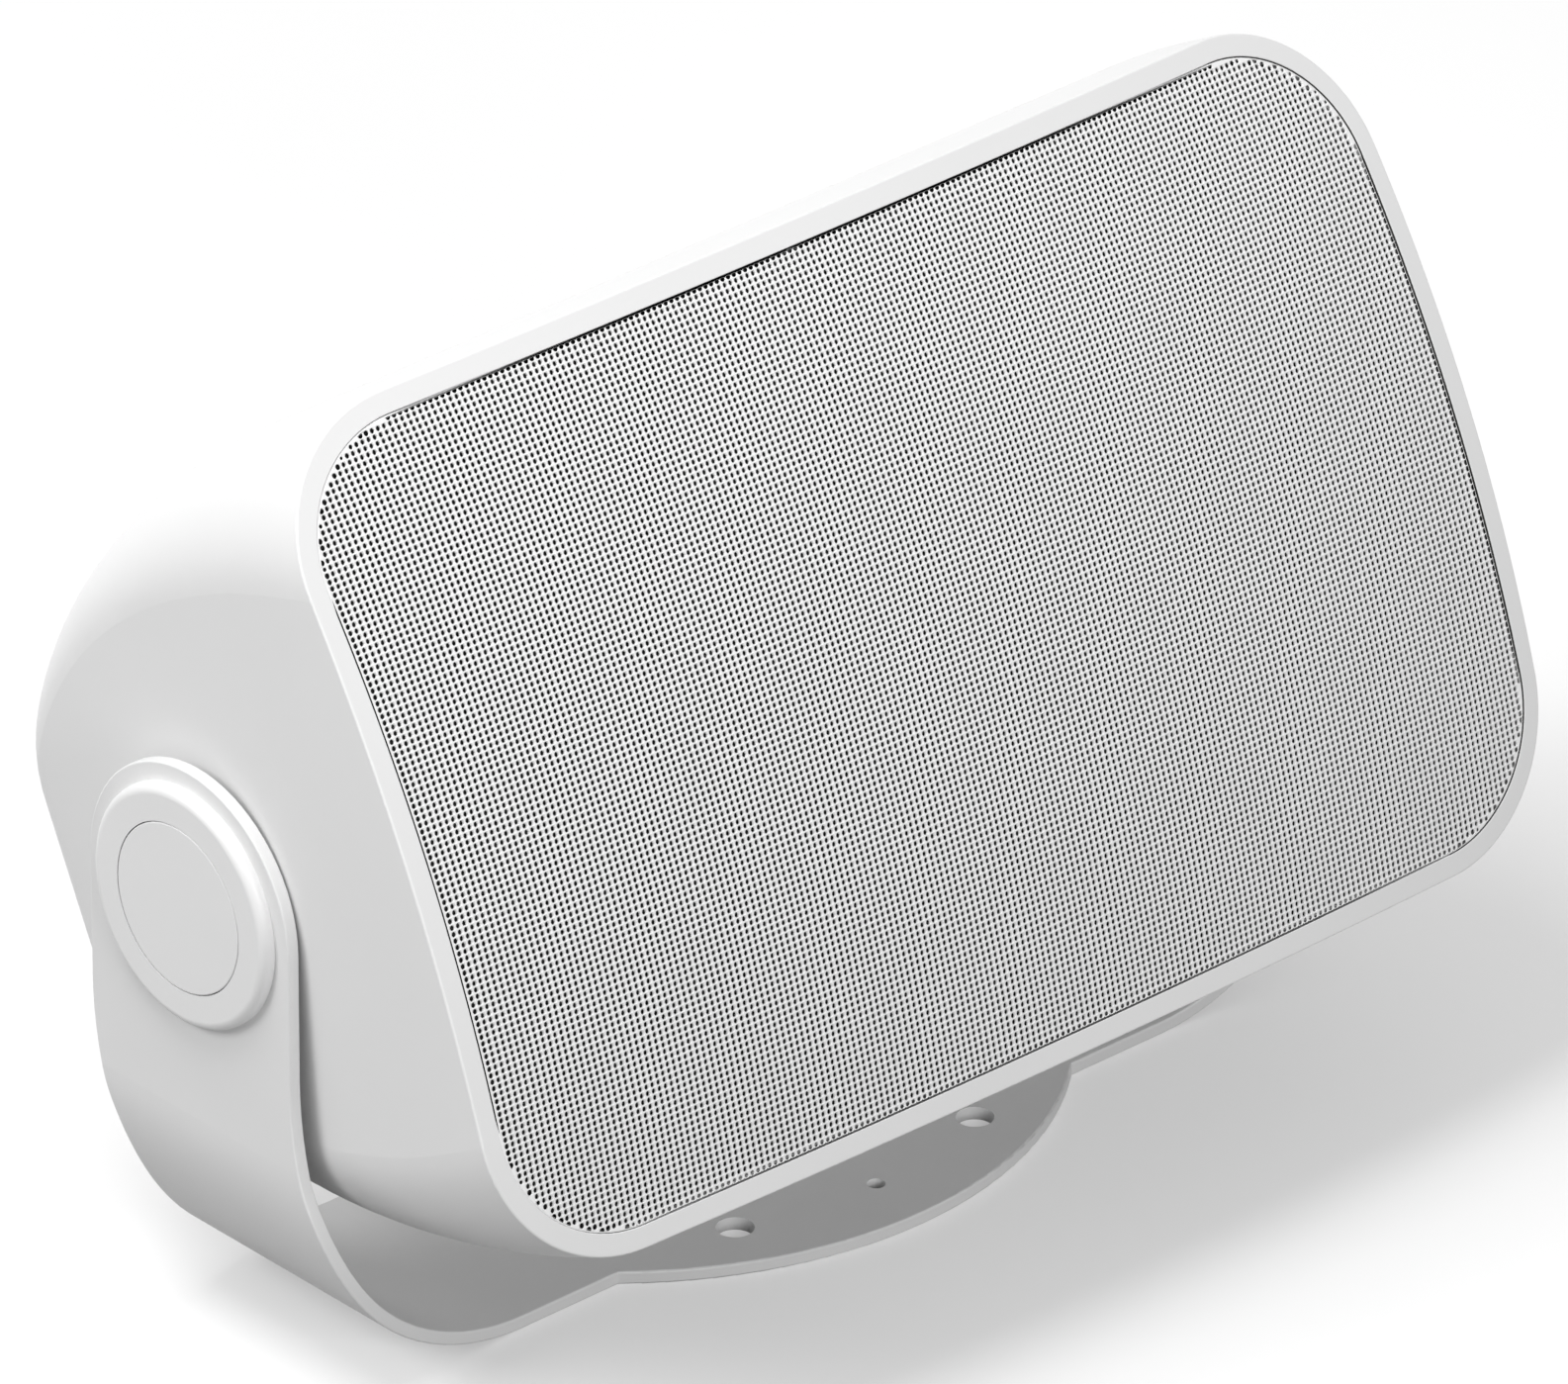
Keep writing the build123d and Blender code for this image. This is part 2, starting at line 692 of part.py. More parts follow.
# Woofer: pressed basket with windows, gasket ring, roll surround, moulded cone, dust cap, corrugated
# spider, coil former, and a motor of top plate, ring magnet and yoke
flange_front = baffle_depth - woofer_flange_thickness
neck_radius = woofer_cutout_radius - baffle_gap
flange_bore = roll_outer - surround_lip
shelf_back = spider_depth + spider_thickness + basket_wall
cup_inner = basket_cup_radius - basket_wall
window_radius = (basket_cup_radius + neck_radius) / 2
with BuildPart() as woofer_basket:
    add(
        turned(
            woofer_across,
            0,
            [
                (woofer_frame_radius, flange_front),
                (woofer_frame_radius, baffle_depth),
                (neck_radius, baffle_depth),
                (basket_cup_radius, spider_depth - basket_wall),
                (basket_cup_radius, basket_depth),
                (basket_floor_bore, basket_depth),
                (basket_floor_bore, basket_depth - basket_wall),
                (cup_inner, basket_depth - basket_wall),
                (cup_inner, shelf_back),
                (spider_shelf_bore, shelf_back),
                (spider_shelf_bore, spider_depth + spider_thickness),
                (cup_inner, spider_depth + spider_thickness),
                (cup_inner, spider_depth - basket_wall),
                (flange_bore, baffle_depth),
                (flange_bore, flange_front),
            ],
        )
    )
    with BuildSketch(facing(woofer_across, 0, spider_depth - 2 * basket_wall)):
        with PolarLocations(window_radius, basket_window_count, woofer_screw_angle / 2):
            Rectangle(neck_radius - basket_cup_radius, basket_window_width)
    extrude(amount=spider_depth - 2 * basket_wall - baffle_back, mode=Mode.SUBTRACT)
    with BuildSketch(facing(0, 0, baffle_depth)):
        with Locations(*woofer_screw_places):
            Circle(screw_radius + thread_gap)
    extrude(amount=woofer_flange_thickness, mode=Mode.SUBTRACT)
woofer_basket.part.label = "woofer_basket"
export_step(woofer_basket.part, "parts/woofer_basket.step")

gasket_front = flange_front - woofer_gasket_thickness
with BuildPart() as woofer_gasket:
    with BuildSketch(facing(woofer_across, 0, flange_front)):
        Circle(woofer_frame_radius)
        Circle(woofer_gasket_inner, mode=Mode.SUBTRACT)
        with PolarLocations(woofer_screw_radius, woofer_screw_count):
            Circle(screw_radius + thread_gap, mode=Mode.SUBTRACT)
    extrude(amount=woofer_gasket_thickness)
woofer_gasket.part.label = "woofer_gasket"
export_step(woofer_gasket.part, "parts/woofer_gasket.step")

woofer_screws = screws([facing(*place, gasket_front) for place in woofer_screw_places], screw_length)
woofer_screws.label = "woofer_screws"
export_step(woofer_screws, "parts/woofer_screws.step")

lip_front = flange_front - surround_lip
roll_middle = (roll_outer + roll_inner) / 2
with BuildPart() as woofer_surround:
    with BuildSketch(section_through(woofer_across, 0)):
        with BuildLine():
            Line((surround_outer, -lip_front), (surround_outer, -flange_front))
            Line((surround_outer, -flange_front), (roll_outer - surround_lip, -flange_front))
            ThreePointArc(
                (roll_outer - surround_lip, -flange_front),
                (roll_middle, roll_height - flange_front),
                (roll_inner + surround_lip, -flange_front),
            )
            Line((roll_inner + surround_lip, -flange_front), (cone_lip_inner, -flange_front))
            Line((cone_lip_inner, -flange_front), (cone_lip_inner, -lip_front))
            Line((cone_lip_inner, -lip_front), (roll_inner, -lip_front))
            ThreePointArc(
                (roll_inner, -lip_front),
                (roll_middle, roll_height - lip_front),
                (roll_outer, -lip_front),
            )
            Line((roll_outer, -lip_front), (surround_outer, -lip_front))
        make_face()
    revolve(axis=driver_axis(woofer_across, 0))
woofer_surround.part.label = "woofer_surround"
export_step(woofer_surround.part, "parts/woofer_surround.step")

cone_back = flange_front + cone_depth
coil_outer = coil_radius + coil_wall
woofer_cone = turned(
    woofer_across,
    0,
    [
        (roll_inner, flange_front),
        (roll_inner, flange_front + cone_thickness),
        (coil_outer + cone_thickness, cone_back + cone_thickness),
        (coil_outer, cone_back + cone_thickness),
        (coil_outer, cone_back),
        (roll_inner - cone_thickness, flange_front),
    ],
)
woofer_cone.label = "woofer_cone"
export_step(woofer_cone, "parts/woofer_cone.step")

cone_slope = cone_depth / (roll_inner - cone_thickness - coil_outer)
dust_cap_base = cone_back - (dust_cap_radius - coil_outer) * cone_slope - cone_thickness / 2
woofer_dust_cap = dished(
    woofer_across, 0, dust_cap_radius, dust_cap_height, cone_thickness, dust_cap_base
)
woofer_dust_cap.label = "woofer_dust_cap"
export_step(woofer_dust_cap, "parts/woofer_dust_cap.step")

voice_coil = turned(
    woofer_across,
    0,
    [
        (coil_radius, cone_back - cone_thickness),
        (coil_outer, cone_back - cone_thickness),
        (coil_outer, cone_back - cone_thickness + coil_length),
        (coil_radius, cone_back - cone_thickness + coil_length),
    ],
)
voice_coil.label = "voice_coil"
export_step(voice_coil, "parts/voice_coil.step")

spider_inner = coil_outer + thread_gap
half_wave = (spider_outer - spider_inner) / (2 * spider_wave_count)
spider_points = [(spider_inner, spider_depth)]
for step in range(2 * spider_wave_count):
    swing = -spider_wave if step % 2 else spider_wave
    spider_points.append((spider_inner + (step + 0.5) * half_wave, spider_depth + swing))
spider_points.append((spider_outer, spider_depth))
spider_back = [(radius, depth + spider_thickness) for radius, depth in reversed(spider_points)]
woofer_spider = turned(woofer_across, 0, spider_points + spider_back)
woofer_spider.label = "woofer_spider"
export_step(woofer_spider, "parts/woofer_spider.step")

top_plate_back = basket_depth + top_plate_thickness
magnet_back = top_plate_back + magnet_thickness
yoke_back = magnet_back + yoke_thickness
woofer_top_plate = turned(
    woofer_across,
    0,
    [
        (gap_radius, basket_depth),
        (top_plate_radius, basket_depth),
        (top_plate_radius, top_plate_back),
        (gap_radius, top_plate_back),
    ],
)
woofer_top_plate.label = "woofer_top_plate"
export_step(woofer_top_plate, "parts/woofer_top_plate.step")

woofer_magnet = turned(
    woofer_across,
    0,
    [
        (magnet_bore, top_plate_back),
        (magnet_radius, top_plate_back),
        (magnet_radius, magnet_back),
        (magnet_bore, magnet_back),
    ],
)
woofer_magnet.label = "woofer_magnet"
export_step(woofer_magnet, "parts/woofer_magnet.step")

woofer_yoke = turned(
    woofer_across,
    0,
    [
        (0, basket_depth),
        (pole_radius, basket_depth),
        (pole_radius, magnet_back),
        (yoke_radius, magnet_back),
        (yoke_radius, yoke_back),
        (0, yoke_back),
    ],
)
woofer_yoke.label = "woofer_yoke"
export_step(woofer_yoke, "parts/woofer_yoke.step")

# Tweeter: faceplate with a shallow horn, soft dome with its lip, and a sealed motor
tweeter_front = baffle_depth - tweeter_plate_thickness
with BuildPart() as tweeter_faceplate:
    add(
        turned(
            tweeter_across,
            tweeter_up,
            [
                (tweeter_horn_radius, tweeter_front),
                (tweeter_radius, tweeter_front),
                (tweeter_radius, baffle_depth),
                (tweeter_throat_radius, baffle_depth),
                (tweeter_throat_radius, baffle_depth - tweeter_dome_wall),
            ],
        )
    )
    with BuildSketch(facing(0, 0, baffle_depth)):
        with Locations(*tweeter_screw_places):
            Circle(screw_radius + thread_gap)
    extrude(amount=tweeter_plate_thickness, mode=Mode.SUBTRACT)
tweeter_faceplate.part.label = "tweeter_faceplate"
export_step(tweeter_faceplate.part, "parts/tweeter_faceplate.step")

tweeter_screw_planes = [facing(*place, tweeter_front) for place in tweeter_screw_places]
tweeter_screws = screws(tweeter_screw_planes, tweeter_screw_length)
tweeter_screws.label = "tweeter_screws"
export_step(tweeter_screws, "parts/tweeter_screws.step")

with BuildPart() as tweeter_dome:
    add(
        dished(
            tweeter_across,
            tweeter_up,
            tweeter_dome_radius,
            tweeter_dome_height,
            tweeter_dome_wall,
            baffle_depth - tweeter_dome_wall,
        )
    )
    add(
        turned(
            tweeter_across,
            tweeter_up,
            [
                (tweeter_chamber_radius, baffle_depth - tweeter_dome_wall),
                (tweeter_throat_radius - baffle_gap, baffle_depth - tweeter_dome_wall),
                (tweeter_throat_radius - baffle_gap, baffle_depth),
                (tweeter_chamber_radius, baffle_depth),
            ],
        )
    )
tweeter_dome.part.label = "tweeter_dome"
export_step(tweeter_dome.part, "parts/tweeter_dome.step")

tweeter_back = baffle_depth + tweeter_motor_length
tweeter_motor = turned(
    tweeter_across,
    tweeter_up,
    [
        (tweeter_chamber_radius, baffle_depth),
        (tweeter_motor_radius, baffle_depth),
        (tweeter_motor_radius, tweeter_back),
        (0, tweeter_back),
        (0, baffle_depth + tweeter_chamber_depth),
        (tweeter_chamber_radius, baffle_depth + tweeter_chamber_depth),
    ],
)
tweeter_motor.label = "tweeter_motor"
export_step(tweeter_motor, "parts/tweeter_motor.step")

# Crossover board on the baffle's posts, with its parts on the side away from the front
board_front = baffle_back + board_stand
board_back = board_front + board_thickness
with BuildPart() as crossover_board:
    with BuildSketch(facing(board_across, board_up, board_back)):
        Rectangle(board_length, board_width)
        with GridLocations(2 * board_post_across, 2 * board_post_up, 2, 2):
            Circle(screw_radius + thread_gap, mode=Mode.SUBTRACT)
    extrude(amount=board_thickness)
crossover_board.part.label = "crossover_board"
export_step(crossover_board.part, "parts/crossover_board.step")


def backward(across, up, depth):
    """Plane parallel to the front that faces the back of the enclosure."""
    return Plane(face.from_local_coords((across, up, -depth)), x_dir=face.x_dir, z_dir=-face.z_dir)


crossover_screws = screws([backward(*place, board_back) for place in board_post_places], board_stand - wall)
crossover_screws.label = "crossover_screws"
export_step(crossover_screws, "parts/crossover_screws.step")

inductor_across = board_length / 2 - inductor_edge_gap - inductor_radius
coils = []
for side, up in zip((-1, 1), inductor_ups):
    with BuildPart() as coil:
        with BuildSketch(backward(board_across + side * inductor_across, board_up + up, board_back)):
            Circle(inductor_radius)
            Circle(inductor_bore, mode=Mode.SUBTRACT)
        extrude(amount=inductor_height)
    coils.append(coil.part)
crossover_inductors = Part(label="crossover_inductors", children=coils)
export_step(crossover_inductors, "parts/crossover_inductors.step")

cans = []
for across, up in capacitor_places:
    start = board_across + across - capacitor_length / 2
    level = board_back + capacitor_radius + thread_gap
    can_plane = Plane(
        face.from_local_coords((start, board_up + up, -level)), x_dir=face.y_dir, z_dir=face.x_dir
    )
    with BuildPart() as can:
        with BuildSketch(can_plane):
            Circle(capacitor_radius)
        extrude(amount=capacitor_length)
    cans.append(can.part)
crossover_capacitors = Part(label="crossover_capacitors", children=cans)
export_step(crossover_capacitors, "parts/crossover_capacitors.step")

blocks = []
for across, up in resistor_places:
    with BuildPart() as block:
        with BuildSketch(backward(board_across + across, board_up + up, board_back)):
            Rectangle(resistor_length, resistor_width)
        extrude(amount=resistor_height)
    blocks.append(block.part)
crossover_resistors = Part(label="crossover_resistors", children=blocks)
export_step(crossover_resistors, "parts/crossover_resistors.step")

# Rear terminals: a plate and block in the pocket, with two sprung buttons
plate_inner = pocket_floor_depth + terminal_gasket_thickness
plate_outer = plate_inner + terminal_plate_thickness
block_end = plate_inner - terminal_block_depth
collar_stop = plate_outer - button_collar_height
with BuildPart() as terminal_gasket:
    with BuildSketch(facing(0, 0, plate_inner)):
        RectangleRounded(
            2 * (pocket_half_width - terminal_clearance),
            2 * (pocket_half_height - terminal_clearance),
            pocket_corner - terminal_clearance,
        )
        Rectangle(block_hole_width, block_hole_height, mode=Mode.SUBTRACT)
        with GridLocations(2 * terminal_screw_across, 2 * terminal_screw_up, 2, 2):
            Circle(screw_radius + thread_gap, mode=Mode.SUBTRACT)
    extrude(amount=terminal_gasket_thickness)
terminal_gasket.part.label = "terminal_gasket"
export_step(terminal_gasket.part, "parts/terminal_gasket.step")

with BuildPart() as terminal_block:
    with BuildSketch(facing(0, 0, plate_outer)):
        RectangleRounded(
            2 * (pocket_half_width - terminal_clearance),
            2 * (pocket_half_height - terminal_clearance),
            pocket_corner - terminal_clearance,
        )
        with GridLocations(2 * terminal_screw_across, 2 * terminal_screw_up, 2, 2):
            Circle(screw_radius + thread_gap, mode=Mode.SUBTRACT)
    extrude(amount=terminal_plate_thickness)
    with BuildSketch(facing(0, 0, plate_inner)):
        Rectangle(terminal_block_width, terminal_block_height)
    extrude(amount=terminal_block_depth)
    with BuildSketch(facing(0, 0, plate_outer)):
        with GridLocations(terminal_spacing, 0, 2, 1):
            Circle(button_radius + button_gap)
    extrude(amount=terminal_plate_thickness + terminal_block_depth, mode=Mode.SUBTRACT)
    with BuildSketch(facing(0, 0, collar_stop)):
        with GridLocations(terminal_spacing, 0, 2, 1):
            Circle(button_collar_radius + button_gap)
    extrude(amount=terminal_block_depth, mode=Mode.SUBTRACT)
terminal_block.part.label = "terminal_block"
export_step(terminal_block.part, "parts/terminal_block.step")

terminal_screw_places = [
    (across * terminal_screw_across, up * terminal_screw_up) for across in (-1, 1) for up in (-1, 1)
]
terminal_screw_planes = [backward(*place, plate_outer) for place in terminal_screw_places]
terminal_screws = screws(terminal_screw_planes, terminal_screw_length)
terminal_screws.label = "terminal_screws"
export_step(terminal_screws, "parts/terminal_screws.step")

leaf_low = block_end + thread_gap
leaf_high = collar_stop - button_collar_height - thread_gap
leaf_step = (leaf_high - leaf_low) / leaf_leg_count
contacts = []
springs = []
for side, name in ((-1, "terminal_button_red"), (1, "terminal_button_black")):
    across = side * terminal_spacing / 2
    with BuildPart() as button:
        with BuildSketch(backward(across, 0, collar_stop)):
            Circle(button_radius)
        extrude(amount=button_collar_height + button_stand)
        button_end = button.edges().sort_by(Axis(face.origin, -face.z_dir))[-1]
        fillet(button_end, button_edge_round)
        with BuildSketch(backward(across, 0, collar_stop)):
            Circle(button_collar_radius)
        extrude(amount=-button_collar_height)
        with BuildSketch(
            Plane(
                face.from_local_coords((across, 0, -plate_outer - button_stand / 2)),
                x_dir=face.x_dir,
                z_dir=face.y_dir,
            )
        ):
            Circle(button_wire_hole / 2)
        extrude(amount=button_radius, both=True, mode=Mode.SUBTRACT)
    button.part.label = name
    export_step(button.part, f"parts/{name}.step")
    with BuildPart() as contact:
        with BuildSketch(facing(across, 0, block_end)):
            Circle(contact_radius)
        extrude(amount=contact_thickness)
    contacts.append(contact.part)
    with BuildPart() as spring:
        with BuildSketch(section_through(across, 0)):
            with BuildLine():
                FilletPolyline(
                    (leaf_reach, -leaf_low),
                    *[
                        (leaf_reach if leg % 2 else -leaf_reach, -leaf_low - leg * leaf_step)
                        for leg in range(leaf_leg_count + 1)
                    ],
                    (leaf_reach, -leaf_high),
                    radius=leaf_fold_radius,
                )
                offset(amount=leaf_thickness, side=Side.LEFT)
            make_face()
        extrude(amount=leaf_width / 2, both=True)
    springs.append(spring.part)
terminal_springs = Part(label="terminal_springs", children=springs)
export_step(terminal_springs, "parts/terminal_springs.step")
terminal_contacts = Part(label="terminal_contacts", children=contacts)
export_step(terminal_contacts, "parts/terminal_contacts.step")


def lead_pair(routes):
    """Two insulated wires, each along a route of (across, up, depth) points with rounded turns."""
    wires = []
    for route in routes:
        with BuildPart() as wire:
            with BuildLine() as path:
                FilletPolyline(
                    *[face.from_local_coords((across, up, -depth)) for across, up, depth in route],
                    radius=lead_bend,
                )
            with BuildSketch(Plane(path.line @ 0, z_dir=path.line % 0)):
                Circle(lead_radius)
            sweep()
        wires.append(wire.part)
    return Part(children=wires)


# Leads from the terminals to the board, and from the board to each driver
board_top_row = board_up + board_width / 2 - lead_edge_inset
board_bottom_row = board_up - board_width / 2 + lead_edge_inset
input_routes = []
woofer_routes = []
tweeter_routes = []
for side in (-1, 1):
    shift = side * lead_spacing / 2
    terminal = side * terminal_spacing / 2
    column = board_across + input_lead_across + shift
    input_routes.append(
        [
            (terminal, 0, block_end - contact_thickness),
            (terminal, 0, input_lead_turn),
            (column, board_top_row, input_lead_drop),
            (column, board_top_row, board_back),
        ]
    )
    column = board_across + woofer_lead_across + shift
    lug_radius = basket_cup_radius + baffle_gap
    lug_across = woofer_across + lug_radius * cos(radians(woofer_lead_angle))
    lug_up = lug_radius * sin(radians(woofer_lead_angle))
    level = woofer_lead_depth + shift
    woofer_routes.append(
        [
            (column, board_bottom_row, board_back),
            (column, board_bottom_row, level),
            (lug_across, lug_up, level),
        ]
    )
    column = board_across + tweeter_lead_across + shift
    lug_up = tweeter_up - tweeter_lead_drop
    tweeter_routes.append(
        [
            (column, board_top_row, board_back),
            (column, board_top_row, tweeter_lead_depth),
            (column, lug_up, tweeter_lead_depth),
            (column, lug_up, tweeter_back),
        ]
    )
for name, routes in (
    ("input_leads", input_routes),
    ("woofer_leads", woofer_routes),
    ("tweeter_leads", tweeter_routes),
):
    leads = lead_pair(routes)
    leads.label = name
    export_step(leads, f"parts/{name}.step")
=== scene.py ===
import json
import math

import bpy
import numpy as np
from mathutils import Matrix, Vector


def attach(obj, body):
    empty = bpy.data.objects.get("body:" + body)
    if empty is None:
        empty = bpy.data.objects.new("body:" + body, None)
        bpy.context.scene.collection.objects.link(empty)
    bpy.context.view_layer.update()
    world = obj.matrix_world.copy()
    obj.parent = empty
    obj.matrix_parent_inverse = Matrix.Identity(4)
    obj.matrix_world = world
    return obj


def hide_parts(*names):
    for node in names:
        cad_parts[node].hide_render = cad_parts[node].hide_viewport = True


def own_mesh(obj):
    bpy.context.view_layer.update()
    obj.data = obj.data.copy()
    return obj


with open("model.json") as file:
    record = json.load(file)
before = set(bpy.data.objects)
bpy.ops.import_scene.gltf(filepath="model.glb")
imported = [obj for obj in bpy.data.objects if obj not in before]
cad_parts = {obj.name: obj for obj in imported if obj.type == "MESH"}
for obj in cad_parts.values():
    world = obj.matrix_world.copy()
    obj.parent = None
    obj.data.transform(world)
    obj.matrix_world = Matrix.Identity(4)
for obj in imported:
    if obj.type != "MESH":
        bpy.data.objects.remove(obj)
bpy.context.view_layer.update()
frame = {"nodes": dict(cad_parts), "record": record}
nodes = frame["nodes"]

# where the domed front sits, in metres, with the same values as the solids have
front = {
    "pivot": (0.0, 0.0108, 0.1146),
    "lean": 26.0,  # degrees
    "reach": 0.0987,  # from the pivot out to the top of the dome
    "rise": 0.0035,
    "domeAcross": 1.35,
    "domeUp": 0.42,
}
leanAngle = math.radians(front["lean"])
acrossDir = np.array([1.0, 0.0, 0.0])
upDir = np.array([0.0, math.sin(leanAngle), math.cos(leanAngle)])
outDir = np.array([0.0, -math.cos(leanAngle), math.sin(leanAngle)])
frontMiddle = np.array(front["pivot"]) + front["reach"] * outDir + front["rise"] * upDir


def onFront(across, up, out):  # places on the front, given in its own directions
    return (frontMiddle + np.multiply.outer(across, acrossDir)
            + np.multiply.outer(up, upDir) + np.multiply.outer(out, outDir))


def domeHeight(across, up, recess):  # how far the dome stands out at a place on the front
    ring = front["domeAcross"] - front["domeUp"] + np.sqrt((front["domeUp"] - recess) ** 2 - up ** 2)
    return np.sqrt(ring ** 2 - across ** 2) - front["domeAcross"]


def meshFromArrays(name, points, faceGroups):  # each group is one array of faces with the same corner count
    mesh = bpy.data.meshes.new(name)
    loops = np.concatenate([group.ravel() for group in faceGroups]).astype(np.int32)
    sizes = np.concatenate([np.full(len(group), group.shape[1]) for group in faceGroups])
    starts = np.concatenate([[0], np.cumsum(sizes)[:-1]]).astype(np.int32)
    mesh.vertices.add(len(points))
    mesh.vertices.foreach_set("co", np.asarray(points, np.float32).ravel())
    mesh.loops.add(len(loops))
    mesh.loops.foreach_set("vertex_index", loops)
    mesh.polygons.add(len(sizes))
    mesh.polygons.foreach_set("loop_start", starts)
    mesh.update(calc_edges=True)
    mesh.validate()
    piece = bpy.data.objects.new(name, mesh)
    bpy.context.scene.collection.objects.link(piece)
    return piece


# shader building blocks
noiseLow, noiseHigh = 0.3, 0.7  # nearly all of a noise texture lies between these


def newShader(name):
    mat = bpy.data.materials.new(name)
    mat.use_nodes = True
    tree = mat.node_tree
    tree.nodes.clear()
    out = tree.nodes.new("ShaderNodeOutputMaterial")
    skin = tree.nodes.new("ShaderNodeBsdfPrincipled")
    tree.links.new(skin.outputs["BSDF"], out.inputs["Surface"])
    place = tree.nodes.new("ShaderNodeTexCoord")
    return mat, tree, skin, place.outputs["Object"]


def mappingOf(tree, where, socket, value):  # the coordinates, stretched or turned
    mapping = tree.nodes.new("ShaderNodeMapping")
    mapping.inputs[socket].default_value = value
    tree.links.new(where, mapping.inputs["Vector"])
    return mapping.outputs["Vector"]


def noiseOf(tree, where, scale, detail, roughness=0.5):
    noise = tree.nodes.new("ShaderNodeTexNoise")
    noise.inputs["Scale"].default_value = scale
    noise.inputs["Detail"].default_value = detail
    noise.inputs["Roughness"].default_value = roughness
    tree.links.new(where, noise.inputs["Vector"])
    return noise.outputs["Fac"]


def toneOf(tree, factor, tone, low, high):  # low and high: a place on the ramp, and a share of the tone
    ramp = tree.nodes.new("ShaderNodeValToRGB")
    for element, (at, share) in zip(ramp.color_ramp.elements, (low, high)):
        element.position = at
        element.color = (*(min(1.0, channel * share) for channel in tone), 1.0)
    tree.links.new(factor, ramp.inputs["Fac"])
    return ramp.outputs["Color"]


def rangeOf(tree, factor, low, high):
    span = tree.nodes.new("ShaderNodeMapRange")
    span.inputs["From Min"].default_value = noiseLow
    span.inputs["From Max"].default_value = noiseHigh
    span.inputs["To Min"].default_value = low
    span.inputs["To Max"].default_value = high
    tree.links.new(factor, span.inputs["Value"])
    return span.outputs["Result"]


def bumpOf(tree, skin, factor, look):
    bump = tree.nodes.new("ShaderNodeBump")
    bump.inputs["Strength"].default_value = look["bump"]
    bump.inputs["Distance"].default_value = look["bumpDepth"]
    tree.links.new(factor, bump.inputs["Height"])
    tree.links.new(bump.outputs["Normal"], skin.inputs["Normal"])


# moulded plastic, paint or rubber with fine grain and slight cloudiness
grained = {
    "cloudDetail": 4.0,
    "grainDetail": 2.0,
    "coatRough": 0.3,
}


def grainedSkin(name, look):
    mat, tree, skin, where = newShader(name)
    cloud = noiseOf(tree, where, look["cloud"], grained["cloudDetail"])
    tone = toneOf(tree, cloud, look["tone"], (noiseLow, 1 - look["shade"]), (noiseHigh, 1 + look["shade"]))
    tree.links.new(tone, skin.inputs["Base Color"])
    grain = noiseOf(tree, where, look["grain"], grained["grainDetail"])
    tree.links.new(rangeOf(tree, grain, *look["rough"]), skin.inputs["Roughness"])
    skin.inputs["Coat Weight"].default_value = look.get("coat", 0.0)
    skin.inputs["Coat Roughness"].default_value = grained["coatRough"]
    bumpOf(tree, skin, grain, look)
    return mat


# machined or plated metal with streaks along one direction
turned = {
    "detail": 3.0,
    "roughness": 0.6,
    "dull": (0.25, 0.8),
    "bright": (0.75, 1.1),
}


def turnedMetal(name, look):
    mat, tree, skin, where = newShader(name)
    along = mappingOf(tree, where, "Scale", look["stretch"])
    streak = noiseOf(tree, along, look["streak"], turned["detail"], turned["roughness"])
    tone = toneOf(tree, streak, look["tone"], turned["dull"], turned["bright"])
    tree.links.new(tone, skin.inputs["Base Color"])
    tree.links.new(rangeOf(tree, streak, *look["rough"]), skin.inputs["Roughness"])
    skin.inputs["Metallic"].default_value = 1.0
    bumpOf(tree, skin, streak, look)
    return mat


# cloth of crossed threads
woven = {
    "turns": (45.0, 135.0),  # degrees, one for each set of threads
    # painted shade: the weave is darker in the gaps between the threads
    "between": (0.1, 0.55),
    "thread": (0.8, 1.2),
    "rough": (0.95, 0.75),
}


def wovenCloth(name, look):
    mat, tree, skin, where = newShader(name)
    weave = tree.nodes.new("ShaderNodeMath")
    weave.operation = "MULTIPLY"
    for socket, turn in zip(weave.inputs, woven["turns"]):
        thread = tree.nodes.new("ShaderNodeTexWave")
        thread.wave_type = "BANDS"
        thread.inputs["Scale"].default_value = look["threads"]
        thread.inputs["Distortion"].default_value = look["wander"]
        along = mappingOf(tree, where, "Rotation", (0.0, 0.0, math.radians(turn)))
        tree.links.new(along, thread.inputs["Vector"])
        tree.links.new(thread.outputs["Fac"], socket)
    height = weave.outputs["Value"]
    tone = toneOf(tree, height, look["tone"], woven["between"], woven["thread"])
    tree.links.new(tone, skin.inputs["Base Color"])
    tree.links.new(rangeOf(tree, height, *woven["rough"]), skin.inputs["Roughness"])
    skin.inputs["Sheen Weight"].default_value = look["sheen"]
    bumpOf(tree, skin, height, look)
    return mat


# close turns of lacquered wire
wound = {
    # painted shade: the wire is darker in the grooves between its turns, half its tone there
    "groove": (0.1, 0.5),
    "crown": (0.7, 1.0),
    "rough": (0.5, 0.25),
    "metal": 0.9,
}


def woundWire(name, look):
    mat, tree, skin, where = newShader(name)
    stand = math.radians(90.0 - front["lean"])  # brings the coil's axis to Z
    along = mappingOf(tree, where, "Rotation", (stand, 0.0, 0.0))
    turns = tree.nodes.new("ShaderNodeTexWave")
    turns.wave_type = "BANDS"
    turns.bands_direction = "Z"
    turns.inputs["Scale"].default_value = look["turns"]
    tree.links.new(along, turns.inputs["Vector"])
    height = turns.outputs["Fac"]
    tone = toneOf(tree, height, look["tone"], wound["groove"], wound["crown"])
    tree.links.new(tone, skin.inputs["Base Color"])
    tree.links.new(rangeOf(tree, height, *wound["rough"]), skin.inputs["Roughness"])
    skin.inputs["Metallic"].default_value = wound["metal"]
    bumpOf(tree, skin, height, look)
    return mat


